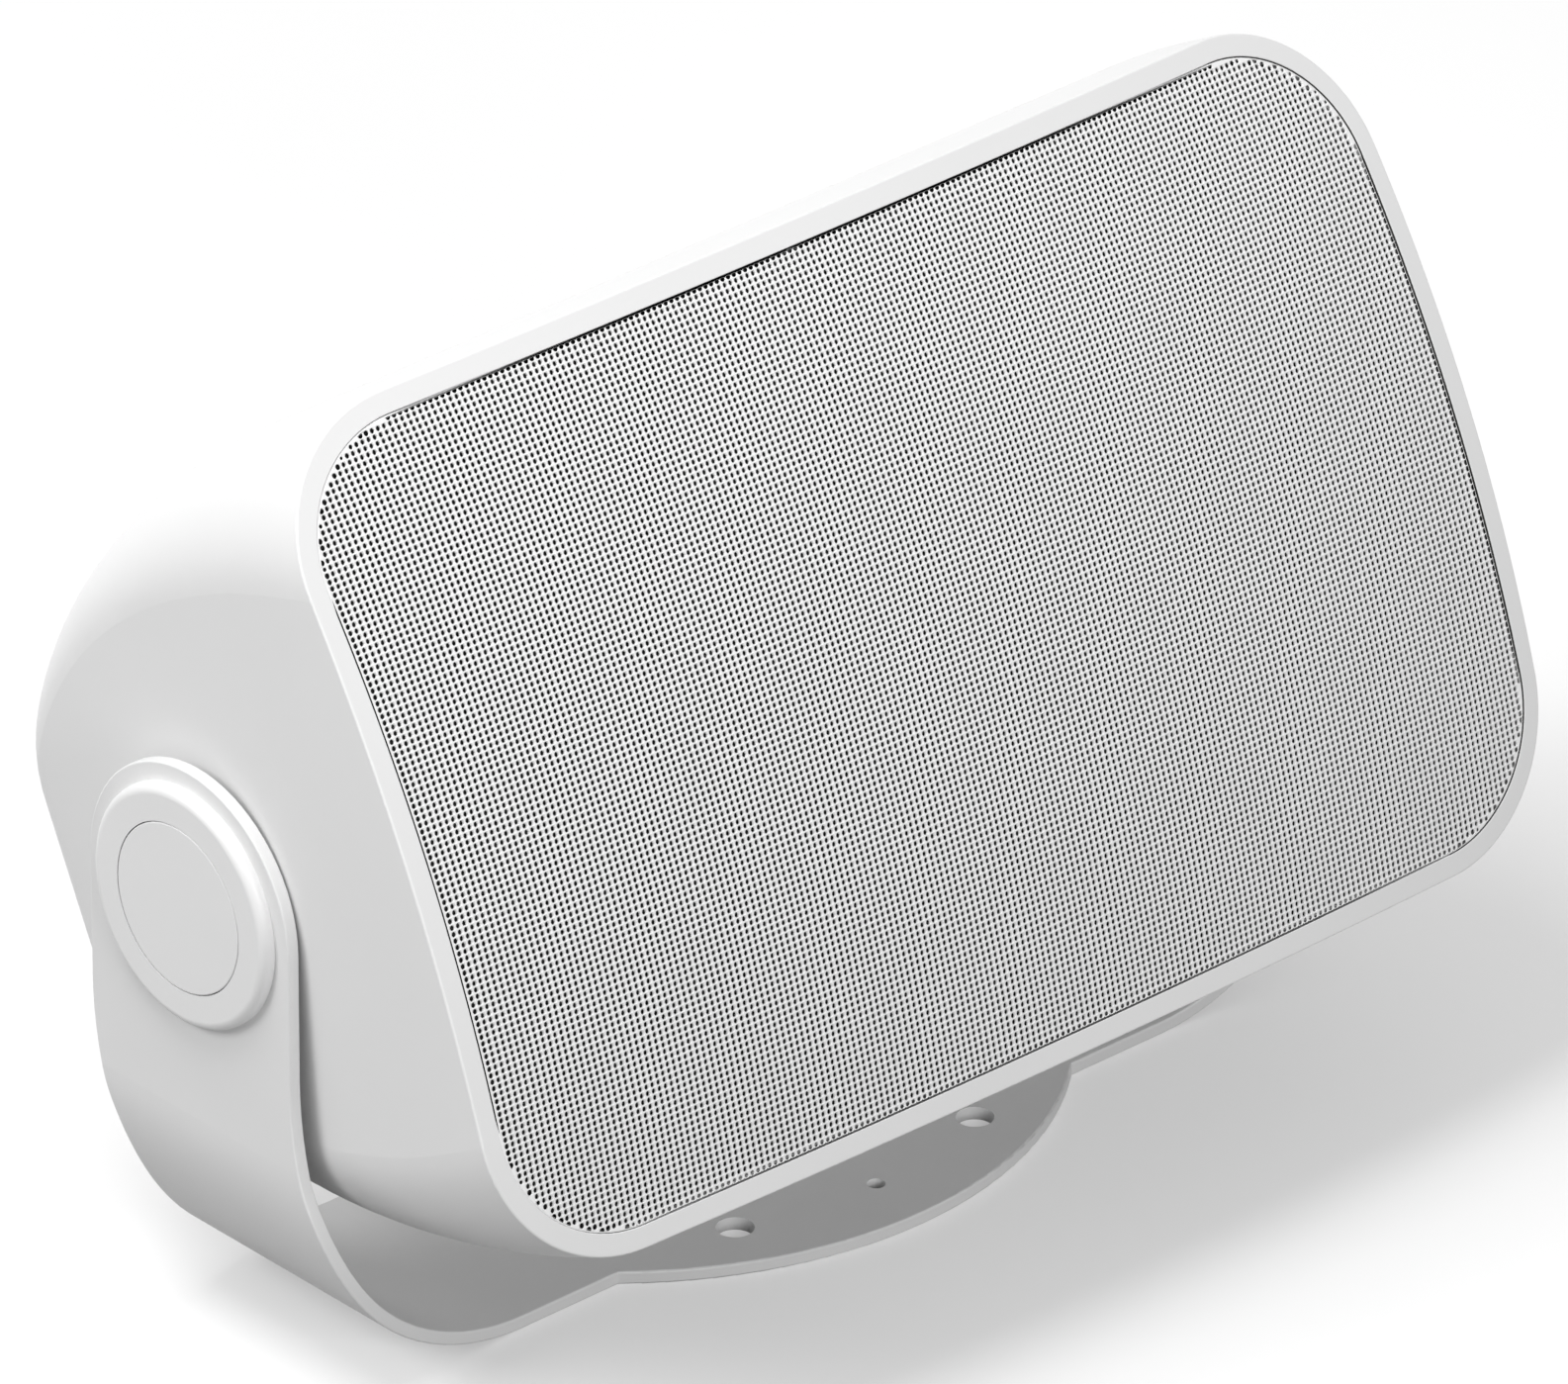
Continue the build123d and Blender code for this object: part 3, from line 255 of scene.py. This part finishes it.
# finishes, one for each material slot of the record
finishes = {
    "enclosure_plastic": (grainedSkin, {
        "tone": (0.785, 0.785, 0.785), "shade": 0.012, "cloud": 14.0, "grain": 2600.0,
        "rough": (0.42, 0.52), "bump": 0.06, "bumpDepth": 0.00008}),
    "trim_plastic": (grainedSkin, {
        "tone": (0.76, 0.76, 0.76), "shade": 0.010, "cloud": 30.0, "grain": 3000.0,
        "rough": (0.36, 0.46), "bump": 0.05, "bumpDepth": 0.00006}),
    "bracket_paint": (grainedSkin, {
        "tone": (0.74, 0.74, 0.74), "shade": 0.014, "cloud": 22.0, "grain": 1500.0,
        "rough": (0.40, 0.52), "bump": 0.10, "bumpDepth": 0.00008}),
    "grille_paint": (grainedSkin, {
        "tone": (0.88, 0.88, 0.88), "shade": 0.012, "cloud": 40.0, "grain": 2500.0,
        "rough": (0.42, 0.55), "bump": 0.05, "bumpDepth": 0.00005}),
    "baffle_plastic": (grainedSkin, {
        "tone": (0.030, 0.030, 0.033), "shade": 0.15, "cloud": 30.0, "grain": 1800.0,
        "rough": (0.55, 0.75), "bump": 0.25, "bumpDepth": 0.0001}),
    "terminal_plastic": (grainedSkin, {
        "tone": (0.035, 0.035, 0.036), "shade": 0.15, "cloud": 60.0, "grain": 2400.0,
        "rough": (0.45, 0.62), "bump": 0.2, "bumpDepth": 0.00008}),
    "cone_plastic": (grainedSkin, {
        "tone": (0.055, 0.055, 0.06), "shade": 0.2, "cloud": 120.0, "grain": 900.0,
        "rough": (0.35, 0.5), "bump": 0.15, "bumpDepth": 0.0001}),
    "gasket_rubber": (grainedSkin, {
        "tone": (0.022, 0.022, 0.022), "shade": 0.2, "cloud": 90.0, "grain": 2200.0,
        "rough": (0.75, 0.92), "bump": 0.35, "bumpDepth": 0.00012}),
    "surround_rubber": (grainedSkin, {
        "tone": (0.025, 0.025, 0.026), "shade": 0.15, "cloud": 50.0, "grain": 2600.0,
        "rough": (0.5, 0.68), "bump": 0.12, "bumpDepth": 0.00006}),
    "lead_insulation": (grainedSkin, {
        "tone": (0.03, 0.03, 0.032), "shade": 0.15, "cloud": 200.0, "grain": 3000.0,
        "rough": (0.4, 0.55), "bump": 0.1, "bumpDepth": 0.00005}),
    "basket_paint": (grainedSkin, {
        "tone": (0.03, 0.03, 0.03), "shade": 0.2, "cloud": 40.0, "grain": 1300.0,
        "rough": (0.4, 0.6), "bump": 0.25, "bumpDepth": 0.0001}),
    "magnet_ferrite": (grainedSkin, {
        "tone": (0.05, 0.05, 0.053), "shade": 0.3, "cloud": 260.0, "grain": 1100.0,
        "rough": (0.6, 0.85), "bump": 0.4, "bumpDepth": 0.00015}),
    "board_laminate": (grainedSkin, {
        "tone": (0.03, 0.14, 0.06), "shade": 0.25, "cloud": 180.0, "grain": 1400.0,
        "rough": (0.3, 0.45), "bump": 0.1, "bumpDepth": 0.00006}),
    "capacitor_film": (grainedSkin, {
        "tone": (0.5, 0.1, 0.045), "shade": 0.1, "cloud": 80.0, "grain": 1600.0,
        "rough": (0.16, 0.28), "bump": 0.08, "bumpDepth": 0.00005, "coat": 0.4}),
    "resistor_ceramic": (grainedSkin, {
        "tone": (0.7, 0.69, 0.64), "shade": 0.06, "cloud": 300.0, "grain": 1500.0,
        "rough": (0.7, 0.9), "bump": 0.4, "bumpDepth": 0.00012}),
    "washer_nylon": (grainedSkin, {
        "tone": (0.68, 0.68, 0.65), "shade": 0.05, "cloud": 90.0, "grain": 2000.0,
        "rough": (0.45, 0.6), "bump": 0.15, "bumpDepth": 0.00006}),
    "button_red": (grainedSkin, {
        "tone": (0.5, 0.02, 0.02), "shade": 0.08, "cloud": 150.0, "grain": 2600.0,
        "rough": (0.2, 0.32), "bump": 0.06, "bumpDepth": 0.00004, "coat": 0.3}),
    "button_black": (grainedSkin, {
        "tone": (0.02, 0.02, 0.02), "shade": 0.15, "cloud": 150.0, "grain": 2600.0,
        "rough": (0.2, 0.32), "bump": 0.06, "bumpDepth": 0.00004, "coat": 0.3}),
    "screw_steel": (turnedMetal, {
        "tone": (0.55, 0.55, 0.56), "streak": 700.0, "stretch": (1.0, 1.0, 0.2),
        "rough": (0.22, 0.4), "bump": 0.08, "bumpDepth": 0.00004}),
    "motor_steel": (turnedMetal, {
        "tone": (0.5, 0.5, 0.52), "streak": 400.0, "stretch": (0.2, 1.0, 1.0),
        "rough": (0.28, 0.48), "bump": 0.1, "bumpDepth": 0.00005}),
    "contact_brass": (turnedMetal, {
        "tone": (0.8, 0.6, 0.28), "streak": 600.0, "stretch": (1.0, 0.3, 1.0),
        "rough": (0.2, 0.36), "bump": 0.06, "bumpDepth": 0.00004}),
    "scrim_cloth": (wovenCloth, {
        "tone": (0.006, 0.006, 0.006), "threads": 420.0, "wander": 0.4, "sheen": 0.0,
        "bump": 0.3, "bumpDepth": 0.0001}),
    "spider_cloth": (wovenCloth, {
        "tone": (0.55, 0.38, 0.15), "threads": 320.0, "wander": 0.5, "sheen": 0.2,
        "bump": 0.4, "bumpDepth": 0.00012}),
    "dome_cloth": (wovenCloth, {
        "tone": (0.03, 0.03, 0.036), "threads": 520.0, "wander": 0.3, "sheen": 0.15,
        "bump": 0.25, "bumpDepth": 0.00008}),
    "coil_copper": (woundWire, {
        "tone": (0.72, 0.36, 0.2), "turns": 300.0, "bump": 0.5, "bumpDepth": 0.00015}),
}
slotMaterials = {slot: build(slot, look) for slot, (build, look) in finishes.items()}
slotOf = {part["node"]: part["material_slot"] for part in frame["record"]["subparts"]}
for node, slot in slotOf.items():
    mesh = nodes[node].data
    mesh.materials.clear()
    mesh.materials.append(slotMaterials[slot])
print("finishes:", len(slotMaterials), "for", len(nodes), "nodes")

# perforated grille sheet, with a pressed edge and a skirt behind it
grille = {
    "halfWidth": 0.1558,
    "halfHeight": 0.0953,
    "corner": 0.0323,
    "gap": 0.0002,  # to the rim, if the sheet were in the middle of its opening
    "seat": -0.00018,  # but it sits against the left
    "recess": 0.0001,
    "sheet": 0.00075,
    "thinFrom": 0.0016,  # nearer to the edge than this the sheet thins, down to the share below
    "thinLeast": 0.25,
    "edgeRound": 0.0003,
    "roundSteps": 3,
    "cornerSteps": 24,
    "skirtDepth": 0.026,
    "pitchAcross": 0.001664,
    "pitchUp": 0.0015015,
    "shiftAcross": 0.00027,  # the holes lie a little off the middle, so those at the top and right are cut
    "shiftUp": 0.0002,
    "holeRadius": 0.00068,
    "edgeShare": 0.25,  # a hole nearer to the edge than this share of its radius is left out
    "cutShare": 0.6,  # nearer than this, the edge cuts it; further in, it shrinks to fit
    "edgeLand": 0.00006,
    "edgeSteps": 16,
    "edgeBand": 0.003,  # only the sides of the outline that are this near can cut a cell
    "panels": 5,
}
cellSides = 4
holeSides = 8  # two points of a hole for each side of its cell
cellCorners = np.array([[-1, -1], [1, -1], [1, 1], [-1, 1]]) * [grille["pitchAcross"], grille["pitchUp"]] / 2
tiny = 1e-9  # keeps divisions away from zero


def roundedOutline(inset):  # the sheet's outline, anticlockwise, with an arc at each corner
    radius = grille["corner"] - inset
    middleX = grille["halfWidth"] - grille["corner"]
    middleY = grille["halfHeight"] - grille["corner"]
    steps = grille["cornerSteps"]
    points = []
    for turn, (signX, signY) in enumerate(((1, 1), (-1, 1), (-1, -1), (1, -1))):
        for step in range(steps + 1):
            angle = math.pi / 2 * (turn + step / steps)
            points.append((signX * middleX + grille["seat"] + radius * math.cos(angle),
                           signY * middleY + radius * math.sin(angle)))
    return np.array(points)


def outlineSides(points):  # outward normal and offset of each side
    along = np.roll(points, -1, axis=0) - points
    length = np.linalg.norm(along, axis=1)
    normal = np.stack([along[:, 1], -along[:, 0]], axis=1) / length[:, None]
    return normal, np.einsum("ij,ij->i", normal, points)


def clipToOutline(polygon, normal, offset):
    for sideNormal, sideOffset in zip(normal, offset):
        over = polygon @ sideNormal - sideOffset
        kept = []
        for here in range(len(polygon)):
            there = (here + 1) % len(polygon)
            if over[here] <= 0:
                kept.append(polygon[here])
            if (over[here] <= 0) != (over[there] <= 0):
                step = polygon[there] - polygon[here]
                kept.append(polygon[here] + step * over[here] / (over[here] - over[there]))
        polygon = np.array(kept)
    return polygon


def onSheet(flat, drop):  # places behind the sheet's face by a drop
    return onFront(flat[:, 0], flat[:, 1], domeHeight(flat[:, 0], flat[:, 1], grille["recess"]) - drop)


def wallDepth(room):  # how deep a hole's wall goes
    return grille["sheet"] * np.clip(room / grille["thinFrom"], grille["thinLeast"], 1.0)


def wholeCells(middles, room):  # squares in front, then their holes' rims in front, then the rims behind
    angles = np.radians(np.arange(holeSides) * 360.0 / holeSides - 135.0)  # from the lower left corner
    ring = grille["holeRadius"] * np.stack([np.cos(angles), np.sin(angles)], axis=1)
    squares = (middles[:, None, :] + cellCorners).reshape(-1, 2)
    rings = (middles[:, None, :] + ring).reshape(-1, 2)
    drop = np.concatenate([np.zeros(len(squares) + len(rings)), np.repeat(wallDepth(room), holeSides)])
    points = onSheet(np.concatenate([squares, rings, rings]), drop)
    cell = np.arange(len(middles))
    square = cellSides * cell
    rim = len(squares) + holeSides * cell
    behind = len(rings) + rim
    fives, fours = [], []
    for side in range(cellSides):
        after = (side + 1) % cellSides
        fives.append(np.stack([square + side, square + after, rim + 2 * after,
                               rim + 2 * side + 1, rim + 2 * side], axis=1))
    for step in range(holeSides):
        after = (step + 1) % holeSides
        fours.append(np.stack([rim + step, rim + after, behind + after, behind + step], axis=1))
    return points, fives, fours


def plainCell(middle, normal, offset):  # a cell on the edge without a hole
    shape = clipToOutline(middle + cellCorners, normal, offset)
    step = np.arange(1, len(shape) - 1)
    return onSheet(shape, 0.0), np.stack([np.zeros_like(step), step, step + 1], axis=1)


def edgeCell(middle, room, normal, offset):  # a fan round the hole, cut by the outline
    angles = np.unique(np.concatenate([
        np.arange(grille["edgeSteps"]) * 2 * math.pi / grille["edgeSteps"] - math.pi,
        np.arctan2(cellCorners[:, 1], cellCorners[:, 0]),
    ]))
    way = np.stack([np.cos(angles), np.sin(angles)], axis=1)
    square = (cellCorners.max(axis=0) / np.maximum(np.abs(way), tiny)).min(axis=1)
    slope = way @ normal.T
    limit = np.where(slope > tiny, (offset - middle @ normal.T) / np.maximum(slope, tiny), np.inf)
    far = np.minimum(square, limit.min(axis=1))
    if room < grille["holeRadius"] * grille["cutShare"]:
        near = np.minimum(grille["holeRadius"], far)
    else:
        near = np.full(len(way), min(grille["holeRadius"], room - grille["edgeLand"]))
    border = middle + way * far[:, None]
    ring = middle + way * near[:, None]
    size = len(way)
    drop = np.concatenate([np.zeros(2 * size), np.full(size, wallDepth(room))])
    points = onSheet(np.concatenate([border, ring, ring]), drop)
    step = np.arange(size)
    after = (step + 1) % size
    face = np.stack([step, after, after + size, step + size], axis=1)
    return points, np.concatenate([face, face + size])


def buildGrillePanels():
    columns = math.ceil(grille["halfWidth"] / grille["pitchAcross"])
    rows = math.ceil(grille["halfHeight"] / grille["pitchUp"])
    column, row = np.meshgrid(np.arange(-columns, columns + 1), np.arange(-rows, rows + 1), indexing="ij")
    column, row = column.ravel(), row.ravel()
    middles = np.stack([column * grille["pitchAcross"] + grille["shiftAcross"],
                        row * grille["pitchUp"] + grille["shiftUp"]], axis=1)
    normal, offset = outlineSides(roundedOutline(grille["edgeRound"]))
    within = ((middles[:, None, :] + cellCorners) @ normal.T <= offset).all(axis=2)  # every cell corner
    inside = within.all(axis=1)
    touching = within.any(axis=1) & ~inside
    room = (offset - middles @ normal.T).min(axis=1)  # from a hole's middle to the outline
    panelOf = (column + columns) * grille["panels"] // (2 * columns + 1)
    pieces = []
    for panel in range(grille["panels"]):
        whole = inside & (panelOf == panel)
        cells, fives, fours = wholeCells(middles[whole], room[whole])
        points, threes = [cells], []
        count = len(cells)
        for cell in np.where(touching & (panelOf == panel))[0]:
            near = offset - middles[cell] @ normal.T < grille["edgeBand"]
            if room[cell] <= grille["holeRadius"] * grille["edgeShare"]:
                places, faces = plainCell(middles[cell], normal[near], offset[near])
                threes.append(faces + count)
            else:
                places, faces = edgeCell(middles[cell], room[cell], normal[near], offset[near])
                fours.append(faces + count)
            points.append(places)
            count += len(places)
        groups = [np.concatenate(group) for group in (fives, fours, threes) if group]
        pieces.append(meshFromArrays(f"grille_panel_{panel + 1}", np.concatenate(points), groups))
    return pieces


def buildGrilleSkirt():
    bend = grille["edgeRound"]
    profile = []  # inset, drop, and whether the drop is from the dome
    for step in range(grille["roundSteps"] + 1):  # the pressed edge, from the face to the skirt
        angle = math.pi / 2 * step / grille["roundSteps"]
        profile.append((bend * (1 - math.sin(angle)), bend * (1 - math.cos(angle)), True))
    profile.append((0.0, grille["skirtDepth"], False))
    profile.append((grille["sheet"], grille["skirtDepth"], False))
    profile.append((grille["sheet"], grille["sheet"], True))
    points = []
    for inset, drop, fromDome in profile:
        line = roundedOutline(inset)
        if fromDome:
            points.append(onSheet(line, drop))
        else:
            points.append(onFront(line[:, 0], line[:, 1], np.full(len(line), -drop)))
    size = len(points[0])
    step = np.arange(size)
    after = (step + 1) % size
    face = np.stack([step, after, after + size, step + size], axis=1)
    faces = np.concatenate([face + size * ring for ring in range(len(profile) - 1)])
    skirt = meshFromArrays("grille_skirt", np.concatenate(points), [faces])
    skirt.data.polygons.foreach_set("use_smooth", np.ones(len(skirt.data.polygons), bool))
    return skirt


grillePieces = buildGrillePanels() + [buildGrilleSkirt()]
for piece in grillePieces:
    piece.data.materials.append(slotMaterials["grille_paint"])
    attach(piece, "speaker")
    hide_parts("grille")
    print(piece.name, "triangles:", sum(len(p.vertices) - 2 for p in piece.data.polygons))

# dark strip in the groove at the right, where the grille sits against the left of its opening: painted
# shade, black rubber that stands in for the shadow deep in the gap between grille and rim
gapShadeStrip = {
    "clear": 0.00001,  # from the rim's wall
    "thickness": 0.00012,
    "top": 0.00012,  # behind the rim's dome
    "bottom": 0.0015,
    "steps": 24,
}


# builds the black strip that paints the shade of the gap at the grille's right edge
def buildGapShadeStrip():
    turns = np.linspace(0.0, math.pi / 2, gapShadeStrip["steps"] + 1)
    rise = np.linspace(-1.0, 1.0, gapShadeStrip["steps"] + 1)[1:-1]
    angles = np.concatenate([turns - math.pi / 2, np.zeros(len(rise)), turns])  # corner, side, corner
    height = np.concatenate([np.full(len(turns), -1.0), rise, np.full(len(turns), 1.0)])
    way = np.stack([np.cos(angles), np.sin(angles)], axis=1)
    middle = np.array([grille["halfWidth"], grille["halfHeight"]]) - grille["corner"]
    middle = middle * np.stack([np.ones(len(height)), height], axis=1)
    outer = grille["corner"] + grille["gap"] - gapShadeStrip["clear"]
    inner = outer - gapShadeStrip["thickness"]
    section = ((outer, gapShadeStrip["top"]), (inner, gapShadeStrip["top"]), (inner, gapShadeStrip["bottom"]), (outer, gapShadeStrip["bottom"]))
    points = []
    for radius, drop in section:
        line = middle + radius * way
        points.append(onFront(line[:, 0], line[:, 1], domeHeight(line[:, 0], line[:, 1], 0.0) - drop))
    size = len(angles)
    step = np.arange(size - 1)
    faces = []
    for corner in range(len(section)):
        here = corner * size + step
        there = (corner + 1) % len(section) * size + step
        faces.append(np.stack([here, there, there + 1, here + 1], axis=1))
    ends = np.arange(len(section)) * size
    faces.append(np.stack([ends[::-1], ends + size - 1]))
    return meshFromArrays("grille_gap_shade_strip", np.concatenate(points), [np.concatenate(faces)])


gapShadeStripPiece = buildGapShadeStrip()
# black rubber on the strip: painted shade of the gap at the grille's right edge
gapShadeStripPiece.data.materials.append(slotMaterials["gasket_rubber"])
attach(gapShadeStripPiece, "speaker")
print("grille seal: built")

# contact springs behind the two buttons, split into one piece for each button
springs = {
    "press": 0.003,
    "spare": 0.0001,
    "buttons": (("red", -1, "red_button_press"), ("black", 1, "black_button_press")),
}
springSlot = slotOf["terminal_springs"]


def buildSprings():
    leaf = nodes["terminal_springs"].data
    points = np.array([v.co for v in leaf.vertices])
    pieces = []
    for colour, side, joint in springs["buttons"]:
        faces = [list(p.vertices) for p in leaf.polygons if p.center.x * side > 0]
        used = np.unique(np.concatenate(faces))
        place = np.zeros(len(points), int)
        place[used] = np.arange(len(used))
        sizes = sorted({len(face) for face in faces})
        groups = [np.array([place[face] for face in faces if len(face) == size]) for size in sizes]
        piece = meshFromArrays(f"terminal_spring_{colour}", points[used], groups)
        along = points[used] @ outDir
        anchor = points[used][along.argmax()]
        piece.data.materials.append(slotMaterials[springSlot])
        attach(piece, "speaker")
        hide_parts("terminal_springs")
        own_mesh(piece)
        pieces.append(piece)
    return pieces


print("springs:", [piece.name for piece in buildSprings()])

# floor, world and lamps
studio = {
    "floorSize": 8.0,
    "floorTone": (0.66, 0.66, 0.66),
    "floorBounce": (0.10, 0.10, 0.10),  # its tone for the light that it throws back at the part
    "floorCloud": 3.0,
    "floorDetail": 3.0,
    "floorShade": 0.005,
    "floorLift": 0.31,  # seen brightness added to the floor, so that it meets the white behind it
    "fadeFrom": 0.6,  # the floor turns to plain white between these two distances
    "fadeTo": 1.5,
    "ambient": 0.465,
    "lampAim": (0.0, 0.0, 0.1),
    "lampFar": 2.4,
    "lamps": (
        {"name": "overhead", "way": (-0.30, 0.10, 0.95), "power": 27.5, "size": 1.1},
        {"name": "left", "way": (-0.75, 0.35, 0.55), "power": 24.5, "size": 1.1},
        {"name": "front", "way": (-0.25, -0.90, 0.30), "power": 24.0, "size": 1.1},
    ),
}


def seenDirectly(tree):  # 1 for what the camera sees, straight or in a reflection
    path = tree.nodes.new("ShaderNodeLightPath")
    total = path.outputs["Is Camera Ray"]
    for name in ("Is Glossy Ray", "Is Transmission Ray"):
        most = tree.nodes.new("ShaderNodeMath")
        most.operation = "MAXIMUM"
        tree.links.new(total, most.inputs[0])
        tree.links.new(path.outputs[name], most.inputs[1])
        total = most.outputs["Value"]
    return total


def floorGlow(tree, where):  # how bright the floor shines for the camera, by distance
    reach = tree.nodes.new("ShaderNodeVectorMath")
    reach.operation = "LENGTH"
    tree.links.new(where, reach.inputs[0])
    fade = tree.nodes.new("ShaderNodeMapRange")
    fade.interpolation_type = "SMOOTHSTEP"
    fade.inputs["From Min"].default_value = studio["fadeFrom"]
    fade.inputs["From Max"].default_value = studio["fadeTo"]
    fade.inputs["To Min"].default_value = studio["floorLift"]
    fade.inputs["To Max"].default_value = 1.0
    tree.links.new(reach.outputs["Value"], fade.inputs["Value"])
    lift = tree.nodes.new("ShaderNodeMath")
    lift.operation = "MULTIPLY"
    tree.links.new(seenDirectly(tree), lift.inputs[0])
    tree.links.new(fade.outputs["Result"], lift.inputs[1])
    return lift.outputs["Value"]


def paleFloor():
    mat = bpy.data.materials.new("pale_floor")
    mat.use_nodes = True
    tree = mat.node_tree
    tree.nodes.clear()
    out = tree.nodes.new("ShaderNodeOutputMaterial")
    matt = tree.nodes.new("ShaderNodeBsdfDiffuse")
    glow = tree.nodes.new("ShaderNodeEmission")
    both = tree.nodes.new("ShaderNodeAddShader")
    where = tree.nodes.new("ShaderNodeTexCoord").outputs["Object"]
    cloud = noiseOf(tree, where, studio["floorCloud"], studio["floorDetail"])
    low = (noiseLow, 1 - studio["floorShade"])
    high = (noiseHigh, 1 + studio["floorShade"])
    choose = tree.nodes.new("ShaderNodeMix")
    choose.data_type = "RGBA"
    tree.links.new(seenDirectly(tree), choose.inputs["Factor"])
    tree.links.new(toneOf(tree, cloud, studio["floorBounce"], low, high), choose.inputs[6])  # colour A
    tree.links.new(toneOf(tree, cloud, studio["floorTone"], low, high), choose.inputs[7])  # colour B
    tree.links.new(choose.outputs[2], matt.inputs["Color"])
    tree.links.new(floorGlow(tree, where), glow.inputs["Strength"])
    tree.links.new(matt.outputs["BSDF"], both.inputs[0])
    tree.links.new(glow.outputs["Emission"], both.inputs[1])
    tree.links.new(both.outputs["Shader"], out.inputs["Surface"])
    return mat


def buildFloor():
    half = studio["floorSize"] / 2
    corners = np.array([[-half, -half, 0], [half, -half, 0], [half, half, 0], [-half, half, 0]])
    floor = meshFromArrays("floor", corners, [np.array([[0, 1, 2, 3]])])
    floor.data.materials.append(paleFloor())


def buildWorld():  # white where it is seen, and an even light on the part
    world = bpy.data.worlds.new("studio")
    bpy.context.scene.world = world
    world.use_nodes = True
    tree = world.node_tree
    tree.nodes.clear()
    out = tree.nodes.new("ShaderNodeOutputWorld")
    back = tree.nodes.new("ShaderNodeBackground")
    back.inputs["Color"].default_value = (1.0, 1.0, 1.0, 1.0)
    level = tree.nodes.new("ShaderNodeMapRange")
    level.inputs["To Min"].default_value = studio["ambient"]
    level.inputs["To Max"].default_value = 1.0
    tree.links.new(seenDirectly(tree), level.inputs["Value"])
    tree.links.new(level.outputs["Result"], back.inputs["Strength"])
    tree.links.new(back.outputs["Background"], out.inputs["Surface"])


def buildLamps():
    for setting in studio["lamps"]:
        light = bpy.data.lights.new(setting["name"], "AREA")
        light.shape = "DISK"
        light.size = setting["size"]
        light.energy = setting["power"]
        lamp = bpy.data.objects.new(setting["name"], light)
        way = Vector(setting["way"]).normalized()
        lamp.location = Vector(studio["lampAim"]) + way * studio["lampFar"]
        lamp.rotation_mode = "QUATERNION"
        lamp.rotation_quaternion = way.to_track_quat("Z", "Y")
        bpy.context.scene.collection.objects.link(lamp)


# camera, fitted to the photograph
view = {
    "azimuth": -42.065,
    "elevation": 29.338,
    "roll": 0.063,
    "distance": 5.0978,
    "target": (-0.002466, -0.017189, 0.135132),
    "lens": 517.07,
    "sensor": 36.0,
    "shift": (-0.003876, -0.032297),
    "clipEnd": 100.0,
}


def buildCamera():
    eye = bpy.data.cameras.new("camera")
    eye.lens = view["lens"]
    eye.sensor_width = view["sensor"]
    eye.shift_x, eye.shift_y = view["shift"]
    eye.clip_end = view["clipEnd"]
    camera = bpy.data.objects.new("camera", eye)
    bpy.context.scene.collection.objects.link(camera)
    around, above = math.radians(view["azimuth"]), math.radians(view["elevation"])
    back = Vector((math.sin(around) * math.cos(above), -math.cos(around) * math.cos(above), math.sin(above)))
    right = Vector((math.cos(around), math.sin(around), 0.0))
    up = back.cross(right)
    roll = math.radians(view["roll"])
    right, up = right * math.cos(roll) + up * math.sin(roll), up * math.cos(roll) - right * math.sin(roll)
    place = Matrix((right, up, back)).transposed().to_4x4()
    place.translation = Vector(view["target"]) + back * view["distance"]
    camera.matrix_world = place
    bpy.context.scene.camera = camera


buildFloor()
buildWorld()
buildLamps()
buildCamera()
bpy.context.scene.view_settings.view_transform = "Standard"
print("studio and camera set")
